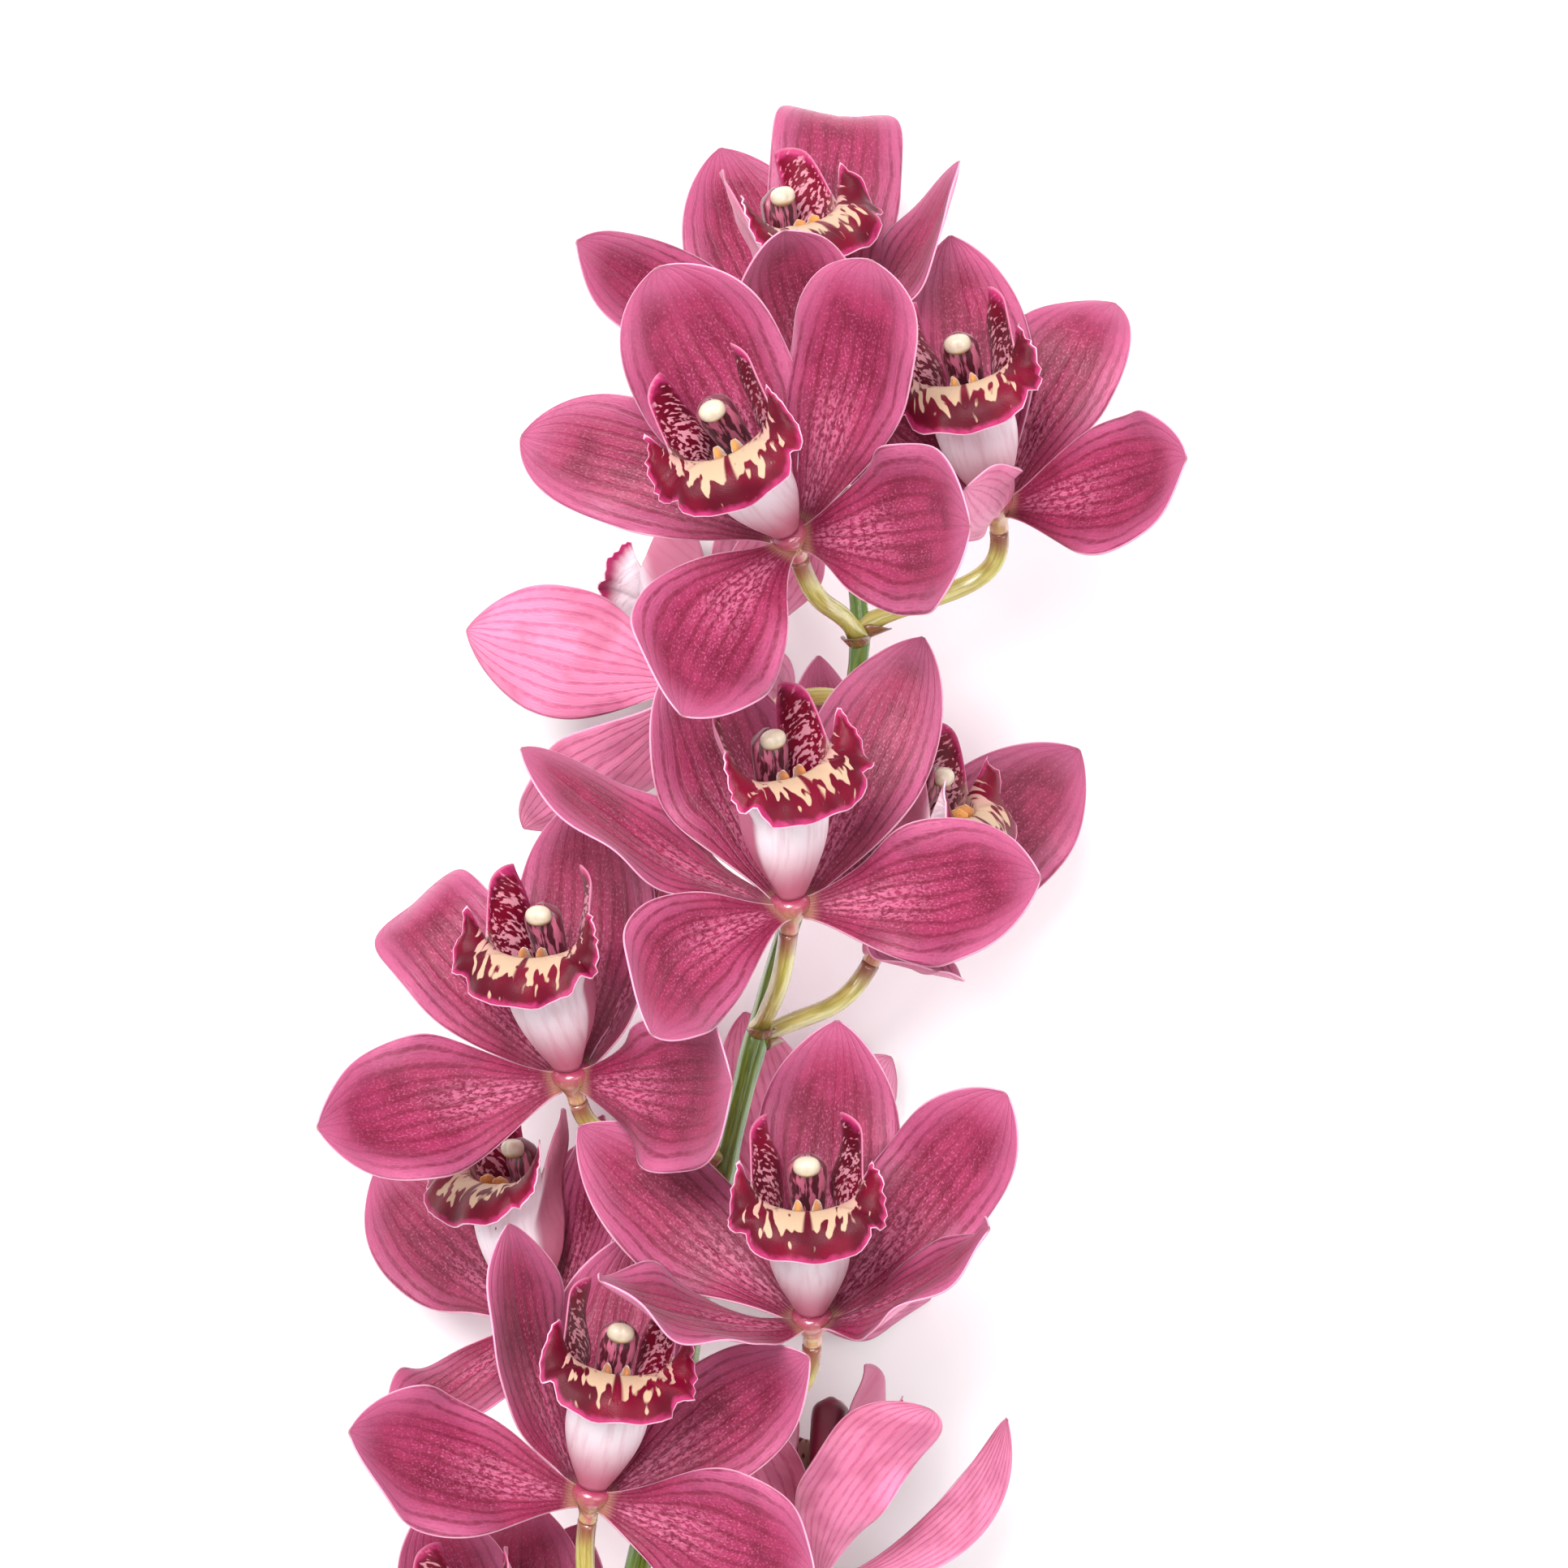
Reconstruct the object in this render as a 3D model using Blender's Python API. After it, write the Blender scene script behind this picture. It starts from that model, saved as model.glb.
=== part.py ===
"""Cut cymbidium orchid stem lying on a surface: one solid for the stem and four for each bloom.

Sizes below are millimetres. X runs across the stem, Y along it towards the tip and Z up from the surface.
Bloom places and petal tips count from a point on the raceme, which ORIGIN moves to the part's origin.
"""

import math

import bpy
import numpy as np

MM = 0.001

# Where the part's origin lies, seen from the middle of the raceme.
ORIGIN = (-13.0, -118.0, -61.3)

# Petals and sepals: width at the widest place, and thickness.
SEPAL_WIDE = 29.0
PETAL_WIDE = 25.0
BLADE_THICK = 0.7
BLADE_ROWS = 6
BLADE_COLUMNS = 3
CLAW_SHARE = 0.15
ROOT_RING = 2.6
WIDEST_AT = 0.56
TIP_HALF = 0.7

# Receptacle: where the pedicel ends and the bloom's parts begin.
RECEPTACLE_BACK = 5.6
RECEPTACLE_FRONT = 2.6
RECEPTACLE_RADIUS = 4.0
SEAT_GAP = 0.3

# Lip, measured along the column's direction (reach) and away from it (drop).
LIP_THICK = 0.8
LIP_ROOT_HALF = 2.4
LIP_THROAT_HALF = 7.8
LIP_FLOOR_ROOT = 2.7
LIP_FLOOR_FALL = 7.3
LIP_REACH = 31.3
LIP_WRAP = 82.0

# Side lobes: how high they rise, how far their front edge leans out and forward, and how far their back
# edge is tucked in over the column.
LOBE_HIGH = 12.2
LOBE_FLARE = 3.1
LOBE_TUCK = 3.2
LOBE_LEAN = 12.6

# Front lobe: its rim is half a circle below the throat, and two raised corners beside it.
RIM_TURN = 150.0
RIM_HALF = 15.3
RIM_REACH = 31.5
RIM_DROP = 10.5
RIM_BELOW = (5.6, 7.4)
RIM_CORNER = (1.2, 11.0, 7.0)
FRONT_BULGE = (1.6, 0.4)

# Column and cap.
COLUMN_LONG = 35.6
COLUMN_ROOT = 1.7
COLUMN_MIDDLE = 2.6
COLUMN_TOP = 3.4
COLUMN_ARCH = 2.6
CAP_HALF = 2.7
CAP_DEEP = 2.2
CAP_LONG = 3.2

# Stem: radii of the flower stalk, its bare lower part and the pedicels.
RACHIS_TOP = 1.6
RACHIS_LOW = 2.6
STALK_RADIUS = 4.4
PEDICEL_RADIUS = 1.9
PEDICEL_ROOT = 1.7

PINK = (0.55, 0.08, 0.20, 1.0)
BURGUNDY = (0.18, 0.005, 0.03, 1.0)
ROSE = (0.35, 0.03, 0.09, 1.0)
CREAM = (0.87, 0.78, 0.55, 1.0)
GREEN = (0.25, 0.32, 0.07, 1.0)


def sepal(tip, wide=SEPAL_WIDE, bow=16, curl=12, roll=0, cup=0.10, lean=0.45, sway=0, square=0.0):
    """One blade: where its tip lies from the bloom's base, and how it bends.

    bow and curl are how far, in degrees, its root and its tip bend towards its front face, and sway how
    far it bends within its own plane. roll turns it about its length, cup lifts its margins, lean is how
    much it faces up from the surface and not the way its bloom faces, and square is 1 where its tip is cut
    across.
    """
    return dict(tip=tip, wide=wide, bow=bow, curl=curl, roll=roll, cup=cup, lean=lean, sway=sway,
                square=square)


def petal(tip, wide=PETAL_WIDE, **shape):
    return sepal(tip, wide, **shape)


# Each bloom: its base, the way its column points, the side its lip hangs on, how high its pedicel leaves
# the stem, and its five blades.
BLOOMS = {
    "bloom_01": dict(
        base=(6, 82, -6), column=(-0.18, 0.93, 0.25), lip_side=(0.62, -0.12, 0.75), node=58,
        dorsal=sepal((-19, 47, -30)), left=petal((-47, 25, 20)),
        right=petal((5, 53, -30), wide=27, curl=-70, square=0.7),
        left_low=sepal((-6, 26, 38), wide=24, bow=-16, lean=1), right_low=sepal((29, 42, 4), roll=-60)),
    "bloom_02": dict(
        base=(1.5, 48, 36), column=(-0.42, 0.66, 0.62), lip_side=(0.08, -0.66, 0.745), node=30,
        dorsal=sepal((-26, 52, 10), wide=31, square=0.25),
        left=petal((-53, 20, -8), sway=-12, square=0.25),
        right=petal((15, 53, 18), wide=27, square=0.35),
        left_low=sepal((-21, -35, 34), wide=31, lean=1, sway=-18),
        right_low=sepal((34, 1, 38), wide=33, lean=1, square=0.25)),
    "bloom_03": dict(
        base=(42, 55, 6), column=(-0.22, 0.87, 0.45), lip_side=(0.0, -0.46, 0.88), node=32,
        dorsal=sepal((-9, 54, -6), wide=25), left=petal((-38, 26, 10)),
        right=petal((24, 41, -14), curl=-30, sway=14),
        left_low=sepal((-7, 2, 44), wide=20, roll=60), right_low=sepal((36, 8, 38))),
    "bloom_04": dict(
        base=(-16, 21, -20), column=(-0.12, 0.57, -0.81), lip_side=(-0.75, -0.62, -0.06), node=16,
        dorsal=sepal((12, 34, -26), wide=22), left=petal((21, 38, -2), wide=22),
        right=petal((16, -8, -41.2)), left_low=sepal((-48, 10, -4), wide=27),
        right_low=sepal((-37, -30, -22), wide=24)),
    "bloom_05": dict(
        base=(1.5, -24, 24), column=(-0.11, 0.905, 0.42), lip_side=(0.52, -0.31, 0.80), node=-50,
        dorsal=sepal((-22, 50, -8)), left=petal((-53, 31, 4), roll=35), right=petal((26, 53, -12)),
        left_low=sepal((-27, -24, 38), wide=27, lean=1, sway=-30), right_low=sepal((48, 6, 28), lean=0.7)),
    "bloom_06": dict(
        base=(20, -31, -14), column=(0.30, 0.88, 0.32), lip_side=(0.88, -0.32, 0.28), node=-52,
        dorsal=sepal((-13, 57, -20), wide=22), left=petal((-12, 28, 6)), right=petal((-2, 42, -34)),
        left_low=sepal((10, -6, 26), wide=22), right_low=sepal((40, 38, -22))),
    "bloom_07": dict(
        base=(-42, -58, 10), column=(-0.16, 0.895, 0.42), lip_side=(-0.35, -0.37, 0.86), node=-74,
        dorsal=sepal((3, 56, -6)), left=petal((-32, 34, -16), curl=-60, square=1),
        right=petal((20, 48, -2), roll=-40), left_low=sepal((-49, -9, 24), lean=0.8),
        right_low=sepal((32, 0, 38), wide=31, lean=1, sway=-10, square=0.35)),
    "bloom_08": dict(
        base=(-50, -108, -18), column=(-0.10, 0.96, 0.22), lip_side=(-0.72, -0.25, 0.66), node=-112,
        dorsal=sepal((11, 36, -23), wide=19, bow=30), left=petal((-14, 34, -43), wide=22),
        right=petal((14, 42, 13), wide=15, bow=38),
        left_low=sepal((-33, 30, -30)), right_low=sepal((-26, -18, 34), wide=22)),
    "bloom_09": dict(
        base=(5.5, -105.5, 20), column=(-0.03, 0.865, 0.50), lip_side=(0, -0.50, 0.865), node=-134,
        dorsal=sepal((5, 59, -4)), left=petal((-46, 38, -6)), right=petal((38, 45, 6), square=0.2),
        left_low=sepal((-41, 10, 36), wide=26, roll=30, lean=0),
        right_low=sepal((34, 20, 38), wide=26, roll=-30, lean=0)),
    "bloom_10": dict(
        base=(-38, -140, 20), column=(0.17, 0.92, 0.37), lip_side=(0.04, -0.38, 0.925), node=-176,
        dorsal=sepal((11, 52, -16)), left=petal((-16, 54, 6), roll=40), right=petal((43, 28, 8)),
        left_low=sepal((-46, 15, 30)), right_low=sepal((44, -13, 32), lean=1)),
    "bloom_11": dict(
        base=(6, -160, -20), column=(0.10, 0.90, -0.35), lip_side=(0.20, -0.35, -0.92), node=-170,
        dorsal=sepal((23, 36, 22), wide=18, bow=34, sway=-38, square=0.5),
        left=petal((39, 32, -6), wide=11, roll=-35, bow=-20, curl=-10, sway=42),
        right=petal((-20, 36, 0)),
        left_low=sepal((26, -12, -38), wide=24), right_low=sepal((-22, -4, -38), wide=24)),
    "bloom_12": dict(
        base=(-56, -192, 8), column=(-0.20, 0.90, 0.38), lip_side=(-0.45, -0.38, 0.80), node=-208,
        dorsal=sepal((4, 50, -14)), left=petal((-14, 50, 0)), right=petal((15, 44, -18), wide=22),
        left_low=sepal((-48, 4, 20)), right_low=sepal((-6, -34, 34))),
    "bloom_13": dict(
        base=(-20, -204, 24), column=(0.15, 0.88, 0.44), lip_side=(0.20, -0.46, 0.85), node=-222,
        dorsal=sepal((4, 55, -8)), left=petal((-14, 50, 2)), right=petal((24, 46, -6)),
        left_low=sepal((-24, -26, 38)), right_low=sepal((40, -4, 34))),
    "bloom_14": dict(
        base=(0, -92, -28), column=(-0.33, 0.82, -0.45), lip_side=(-0.30, -0.50, -0.80), node=-96,
        dorsal=sepal((-8, 46, 2), wide=22), left=petal((-30, 30, -4)), right=petal((22, 36, -24)),
        left_low=sepal((-42, -8, -14), wide=24), right_low=sepal((30, -14, -33))),
}

# The stem's centre line, from the highest bloom down to the cut end.
STEM_LINE = [
    (11, 60, 0), (15, 28, 0), (8, -5, 0), (-2, -38, 0), (-10, -68, 0), (-16, -96, 0), (-22, -125, 0),
    (-30, -160, 0), (-37, -200, -4), (-43, -245, -14), (-46, -290, -29), (-46, -335, -45),
    (-44, -370, -57.1)]


def unit(vector):
    vector = np.asarray(vector, float)
    return vector / np.linalg.norm(vector)


def turn(vector, axis, degrees):
    """The vector turned about a unit axis."""
    angle = math.radians(degrees)
    return (vector * math.cos(angle) + np.cross(axis, vector) * math.sin(angle)
            + axis * np.dot(axis, vector) * (1 - math.cos(angle)))


def bezier(points, t):
    """Places on a cubic curve, and its unit directions there."""
    a, b, c, d = (np.asarray(p, float) for p in points)
    t = np.asarray(t)[:, None]
    place = a * (1 - t) ** 3 + 3 * b * t * (1 - t) ** 2 + 3 * c * t ** 2 * (1 - t) + d * t ** 3
    way = (b - a) * (1 - t) ** 2 + 2 * (c - b) * t * (1 - t) + (d - c) * t ** 2
    return place, way / np.linalg.norm(way, axis=1, keepdims=True)


def spline(points, count):
    """Evenly spaced places on a smooth curve through all the points."""
    points = np.asarray(points, float)
    ends = np.vstack([2 * points[0] - points[1], points, 2 * points[-1] - points[-2]])
    places = []
    for i in range(1, len(points)):
        p0, p1, p2, p3 = ends[i - 1:i + 3]
        for u in np.linspace(0, 1, 24, endpoint=False):
            places.append(0.5 * (2 * p1 + (p2 - p0) * u + (2 * p0 - 5 * p1 + 4 * p2 - p3) * u ** 2
                                 + (3 * p1 - p0 - 3 * p2 + p3) * u ** 3))
    places = np.array(places + [points[-1]])
    along = np.concatenate([[0], np.cumsum(np.linalg.norm(np.diff(places, axis=0), axis=1))])
    steps = np.linspace(0, along[-1], count)
    return np.stack([np.interp(steps, along, places[:, k]) for k in range(3)], axis=1)


def bloom_axes(bloom):
    """Unit directions: along the column, to the lip's side, across, the way the bloom faces, and its up."""
    reach = unit(bloom["column"])
    hint = np.asarray(bloom["lip_side"], float)
    drop = unit(hint - reach * np.dot(hint, reach))
    across = np.cross(reach, drop)
    face = unit(0.87 * reach + 0.5 * drop)
    return reach, drop, across, face, unit(0.5 * reach - 0.87 * drop)


def smooth_step(x, low, high):
    """0 below low, 1 above high, and a smooth rise between."""
    x = np.clip((x - low) / (high - low), 0, 1)
    return x * x * (3 - 2 * x)


def blade_width(t, square):
    """Half width of a blade along its length, as a share of its widest: a narrow claw and a blunt point."""
    rise = CLAW_SHARE + (1 - CLAW_SHARE) * np.sin(np.clip(t / WIDEST_AT, 0, 1) * math.pi / 2) ** 1.35
    beyond = np.clip((t - WIDEST_AT) / (1 - WIDEST_AT), 0, 1)
    return rise * (1 - beyond ** (2.2 + 5 * square)) ** (0.75 - 0.3 * square)


def blade_surface(blade, reach, face, rows, columns):
    """Grid of places on a blade's front face, rows from its root to its tip."""
    tip = np.asarray(blade["tip"], float)
    root = ROOT_RING * unit(tip - reach * np.dot(tip, reach))
    long = np.linalg.norm(tip - root)
    chord = (tip - root) / long
    look = face * (1 - blade["lean"]) + np.array([0, 0, blade["lean"]]) if face[2] > 0 else face
    normal = unit(look - chord * np.dot(look, chord))
    normal = turn(normal, chord, blade["roll"])
    bow, curl = math.radians(blade["bow"]), math.radians(blade["curl"])
    leave = turn(chord * math.cos(bow) - normal * math.sin(bow), normal, blade["sway"])
    land = turn(chord * math.cos(curl) + normal * math.sin(curl), normal, -blade["sway"])
    near = root + leave * long * 0.36
    far = tip - land * long * 0.36
    t = np.linspace(0, 1, rows)
    place, way = bezier((root, near, far, tip), t)
    across = np.cross(chord, normal)
    v = np.linspace(-1, 1, columns)
    half = np.maximum(blade_width(t, blade["square"]) * blade["wide"] / 2, TIP_HALF)
    grid = np.zeros((rows, columns, 3))
    for i in range(rows):
        lift = blade["cup"] * half[i] * v ** 2
        grid[i] = place[i] + np.outer(half[i] * v, across) + np.outer(lift, np.cross(across, way[i]))
    return grid


def surface_normals(grid):
    along = np.gradient(grid, axis=0)
    across = np.gradient(grid, axis=1)
    normal = np.cross(across, along)
    return normal / np.maximum(np.linalg.norm(normal, axis=2, keepdims=True), 1e-9)


def shell(grid, thick, cells=None):
    """A closed sheet over the grid's cells: two faces split alike, and a rim round them."""
    rows, columns = grid.shape[:2]
    if cells is None:
        cells = np.ones((rows - 1, columns - 1), bool)
    normals = surface_normals(grid)
    places = np.concatenate([(grid + normals * thick / 2).reshape(-1, 3),
                             (grid - normals * thick / 2).reshape(-1, 3)])
    under = rows * columns
    faces = []
    edges = set()
    for i, j in zip(*np.nonzero(cells)):
        a = i * columns + j
        b, c, d = a + 1, a + columns + 1, a + columns
        faces += [(a, b, c), (a, c, d), (a + under, c + under, b + under), (a + under, d + under, c + under)]
        edges |= {(a, b), (b, c), (c, d), (d, a)}
    for a, b in sorted(edges):
        if (b, a) not in edges:
            faces += [(b, a, a + under), (b, a + under, b + under)]
    return places, faces


def loft(rings):
    """A closed solid through rings of as many places each, with a flat cap at each end."""
    count = len(rings[0])
    places = np.concatenate(rings)
    faces = [tuple(range(count))[::-1]]
    for k in range(len(rings) - 1):
        for i in range(count):
            j = (i + 1) % count
            a, b = k * count + i, k * count + j
            faces.append((a, b, b + count, a + count))
    last = (len(rings) - 1) * count
    faces.append(tuple(range(last, last + count)))
    return places, faces


def ring(centre, way, side, wide, deep, sides):
    """Places round an oval that faces along way and is wide along side."""
    other = np.cross(way, side)
    angles = np.arange(sides) * 2 * math.pi / sides
    return (np.asarray(centre) + np.outer(np.cos(angles) * wide, side)
            + np.outer(np.sin(angles) * deep, other))


def tube(line, radii, sides, last_way=None):
    """A closed tube along a line of places; last_way is the way its end faces."""
    line = np.asarray(line, float)
    ways = np.gradient(line, axis=0)
    if last_way is not None:
        ways[-1] = last_way
    rings = []
    side = np.array([0.0, 0.0, 1.0])
    for place, way, radius in zip(line, ways, radii):
        way = unit(way)
        side = unit(side - way * np.dot(side, way))
        rings.append(ring(place, way, side, radius, radius, sides))
    return loft(rings)


def material(name, colour, roughness):
    made = bpy.data.materials.new(name)
    made.use_nodes = True
    shader = made.node_tree.nodes["Principled BSDF"]
    shader.inputs["Base Color"].default_value = colour
    shader.inputs["Roughness"].default_value = roughness
    made.diffuse_color = colour
    return made


def solid(name, places, faces, finish=None):
    """An object from places in millimetres, seen from the raceme's middle."""
    mesh = bpy.data.meshes.new(name)
    mesh.from_pydata(((np.asarray(places) - ORIGIN) * MM).tolist(), [], [list(map(int, f)) for f in faces])
    mesh.validate()
    made = bpy.data.objects.new(name, mesh)
    bpy.context.scene.collection.objects.link(made)
    if finish:
        mesh.materials.append(finish)
    return made


def union(name, pieces, finish):
    """One object from closed pieces that run into each other."""
    whole = solid(name, *pieces[0])
    others = bpy.data.collections.new(name + "_pieces")
    bpy.context.scene.collection.children.link(others)
    for number, piece in enumerate(pieces[1:]):
        part = solid(f"{name}_{number}", *piece)
        bpy.context.scene.collection.objects.unlink(part)
        others.objects.link(part)
    join = whole.modifiers.new("join", "BOOLEAN")
    join.operation = "UNION"
    join.operand_type = "COLLECTION"
    join.collection = others
    joined = bpy.data.meshes.new_from_object(whole.evaluated_get(bpy.context.evaluated_depsgraph_get()))
    whole.modifiers.clear()
    whole.data = joined
    joined.materials.clear()
    joined.materials.append(finish)
    for part in list(others.objects):
        bpy.data.objects.remove(part)
    bpy.data.collections.remove(others)
    return whole


def receptacle(bloom):
    """The knob that the blades grow from: flat behind, where the pedicel ends, and flat in front."""
    reach, _, across, _, _ = bloom_axes(bloom)
    arrive = pedicel_end(bloom)[1]
    base = np.asarray(bloom["base"], float)
    back = ring(base - arrive * RECEPTACLE_BACK, arrive, unit(across - arrive * np.dot(across, arrive)),
                PEDICEL_RADIUS, PEDICEL_RADIUS, 8)
    front = ring(base + reach * RECEPTACLE_FRONT, reach, across, RECEPTACLE_RADIUS, RECEPTACLE_RADIUS, 8)
    return loft([back, front])


def pedicel_end(bloom):
    """Where the bloom's pedicel ends, and the way it points there."""
    _, _, _, face, _ = bloom_axes(bloom)
    arrive = unit(face + np.array([0, 0.7, 0]))
    return np.asarray(bloom["base"], float) - arrive * (RECEPTACLE_BACK + SEAT_GAP), arrive


def make_tepals(name, bloom, finish):
    reach, _, _, face, _ = bloom_axes(bloom)
    base = np.asarray(bloom["base"], float)
    pieces = [receptacle(bloom)]
    for key in ("dorsal", "left", "right", "left_low", "right_low"):
        grid = base + blade_surface(bloom[key], reach, face, BLADE_ROWS + 1, BLADE_COLUMNS + 1)
        pieces.append(shell(grid, BLADE_THICK))
    union(name, pieces, finish)


def lip_surface(tube_rows, fold_rows, side_columns, middle_columns):
    """The whole lip as one grid of (across, reach, drop), and which of its cells are there.

    The tube's rows have a side lobe at each end; the front lobe's rows go on from the middle columns alone.
    """
    a = np.concatenate([np.linspace(-1, -0.5, side_columns + 1)[:-1],
                        np.linspace(-0.5, 0.5, middle_columns + 1),
                        np.linspace(0.5, 1, side_columns + 1)[1:]])
    v = np.clip(a / 0.5, -1, 1)
    arm = np.clip((np.abs(a) - 0.5) / 0.5, 0, 1)
    hand = np.sign(a)
    rows = []
    for p in np.linspace(0, 1, tube_rows + 1):
        half = LIP_ROOT_HALF + (LIP_THROAT_HALF - LIP_ROOT_HALF) * math.sin(min(p / 0.6, 1) * math.pi / 2)
        low = LIP_FLOOR_ROOT + LIP_FLOOR_FALL * math.sin(min(p / 0.75, 1) * math.pi / 2) - 0.8 * p ** 4
        high = LOBE_HIGH * max(0.12, math.sin(math.pi * 0.5 * min(p / 0.8, 1)) ** 1.5)
        angle = np.radians(LIP_WRAP) * v
        front = smooth_step(p, 0.62, 1.0)
        splay = np.where(arm > 0, 1 - 1.15 * smooth_step(arm, 0.5, 1.0), np.abs(v) ** 3)
        tuck = LOBE_TUCK * arm * smooth_step(p, 0.35, 0.65) * (1 - front)
        across = half * np.sin(angle) + hand * (LOBE_FLARE * front * splay - tuck)
        drop = low - half * 0.8 * (1 - np.cos(angle)) - arm * high
        lean = LOBE_LEAN * p ** 2 * np.sin(arm * math.pi * 0.62) * (arm > 0)
        reach = RECEPTACLE_FRONT + SEAT_GAP + (LIP_REACH - RECEPTACLE_FRONT - SEAT_GAP) * p + lean
        rows.append(np.stack([across, reach, drop], axis=1))
    throat = rows[-1]
    turned = np.radians(RIM_TURN) * v
    beside, below = np.maximum(-np.cos(turned), 0), np.maximum(np.cos(turned), 0)
    sine = np.sign(turned) * np.abs(np.sin(turned)) ** (1 - 0.75 * beside)
    rim = np.stack([(RIM_HALF + RIM_CORNER[0] * beside) * sine,
                    RIM_REACH - RIM_BELOW[0] * below + RIM_CORNER[1] * beside,
                    RIM_DROP + RIM_BELOW[1] * below - RIM_CORNER[2] * beside], axis=1)
    for u in np.linspace(0, 1, fold_rows + 1)[1:]:
        bulge = math.sin(math.pi * u) * (1 - 0.55 * v ** 2)
        row = throat * (1 - u) + rim * u
        row[:, 1] += FRONT_BULGE[0] * bulge
        row[:, 2] += FRONT_BULGE[1] * bulge
        rows.append(row)
    grid = np.array(rows)
    cells = np.ones((tube_rows + fold_rows, len(a) - 1), bool)
    cells[tube_rows:, :side_columns] = False
    cells[tube_rows:, -side_columns:] = False
    return grid, cells


def place_lip(bloom, grid):
    reach, drop, across, _, _ = bloom_axes(bloom)
    return (np.asarray(bloom["base"], float) + grid[..., :1] * across + grid[..., 1:2] * reach
            + grid[..., 2:] * drop)


def make_lip(name, bloom, finish):
    grid, cells = lip_surface(3, 3, 2, 6)
    solid(name, *shell(place_lip(bloom, grid), LIP_THICK, cells), finish)


def column_line(bloom):
    """Centre line of the column: it leaves the receptacle and arches a little over the lip."""
    reach, drop, _, _, _ = bloom_axes(bloom)
    base = np.asarray(bloom["base"], float)
    root = base + reach * (RECEPTACLE_FRONT + SEAT_GAP) - drop * 1.2
    middle = base + reach * COLUMN_LONG * 0.55 - drop * COLUMN_ARCH
    end = base + reach * COLUMN_LONG - drop * 0.6
    return np.array([root, root + reach * 3, middle, end - reach * 5 - drop * 0.8, end])


def make_column(name, bloom, finish):
    _, _, across, _, _ = bloom_axes(bloom)
    line = column_line(bloom)
    radii = [COLUMN_ROOT, COLUMN_ROOT, COLUMN_MIDDLE, COLUMN_TOP, CAP_HALF]
    ways = np.gradient(line, axis=0)
    rings = []
    for place, way, radius in zip(line, ways, radii):
        way = unit(way)
        side = unit(across - way * np.dot(across, way))
        rings.append(ring(place, way, side, radius * 1.1, radius * 0.8, 8))
    rings[0] = ring(line[0], bloom_axes(bloom)[0], across, COLUMN_ROOT, COLUMN_ROOT, 8)
    solid(name, *loft(rings), finish)


def make_cap(name, bloom, finish):
    """The anther cap: a small rounded block on the column's end, wider than it is long."""
    _, drop, across, _, _ = bloom_axes(bloom)
    line = column_line(bloom)
    way = unit(line[-1] - line[-2])
    side = unit(across - way * np.dot(across, way))
    start = line[-1] + way * SEAT_GAP
    rings = []
    for share, out in ((0.0, 0.75), (0.3, 1.0), (0.7, 0.9), (1.0, 0.45)):
        rings.append(ring(start + (way * CAP_LONG + drop * 0.4) * share, way, side,
                          CAP_HALF * out, CAP_DEEP * out, 7))
    solid(name, *loft(rings), finish)


def pedicel_line(bloom, count):
    end, arrive = pedicel_end(bloom)
    line = spline(STEM_LINE, 200)
    start = line[np.argmin(np.abs(line[:, 1] - bloom["node"]))]
    away = end - start
    away[1] = 0
    leave = unit(unit(away) + np.array([0, 0.55, 0]))
    long = np.linalg.norm(end - start)
    return bezier((start, start + leave * long * 0.45, end - arrive * long * 0.45, end),
                  np.linspace(0, 1, count))[0]


def make_stem(finish):
    line = spline(STEM_LINE, 30)
    share = np.linspace(0, 1, len(line))
    radii = np.interp(share, (0, 0.12, 0.55, 0.75, 1.0), (RACHIS_TOP, 2.0, RACHIS_LOW, 3.6, STALK_RADIUS))
    pieces = [tube(line, radii, 8)]
    for bloom in BLOOMS.values():
        run = pedicel_line(bloom, 7)
        thick = np.interp(np.linspace(0, 1, 7), (0, 0.3, 1), (PEDICEL_ROOT, PEDICEL_RADIUS, PEDICEL_RADIUS))
        pieces.append(tube(run, thick, 6, pedicel_end(bloom)[1]))
    union("stem", pieces, finish)


def main():
    for old in list(bpy.data.objects):
        bpy.data.objects.remove(old)
    pink = material("petal_pink", PINK, 0.5)
    burgundy = material("lip_burgundy", BURGUNDY, 0.45)
    rose = material("column_rose", ROSE, 0.4)
    cream = material("cap_cream", CREAM, 0.45)
    green = material("stem_green", GREEN, 0.35)
    make_stem(green)
    for name, bloom in BLOOMS.items():
        make_tepals(name + "_tepals", bloom, pink)
        make_lip(name + "_lip", bloom, burgundy)
        make_column(name + "_column", bloom, rose)
        make_cap(name + "_cap", bloom, cream)


main()
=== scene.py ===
import math

import bpy
import numpy as np
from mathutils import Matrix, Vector


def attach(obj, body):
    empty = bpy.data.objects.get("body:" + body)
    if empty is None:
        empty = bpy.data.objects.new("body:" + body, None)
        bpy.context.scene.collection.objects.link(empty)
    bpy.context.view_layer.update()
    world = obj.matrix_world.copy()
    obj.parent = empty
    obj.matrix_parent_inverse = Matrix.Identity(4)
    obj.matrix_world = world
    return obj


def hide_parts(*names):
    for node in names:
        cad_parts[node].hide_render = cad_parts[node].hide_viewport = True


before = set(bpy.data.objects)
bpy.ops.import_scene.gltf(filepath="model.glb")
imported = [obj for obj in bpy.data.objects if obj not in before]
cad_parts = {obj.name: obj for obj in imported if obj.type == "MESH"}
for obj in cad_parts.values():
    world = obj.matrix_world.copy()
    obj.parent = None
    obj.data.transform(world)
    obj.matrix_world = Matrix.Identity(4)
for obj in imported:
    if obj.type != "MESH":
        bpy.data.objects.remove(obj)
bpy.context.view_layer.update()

# Sizes are millimetres. X runs across the stem, Y along it to the tip, Z up from the surface, all counted
# from the middle of the raceme, and place() moves them to the part's own origin.
print("orchid stem: frame loaded")

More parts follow.
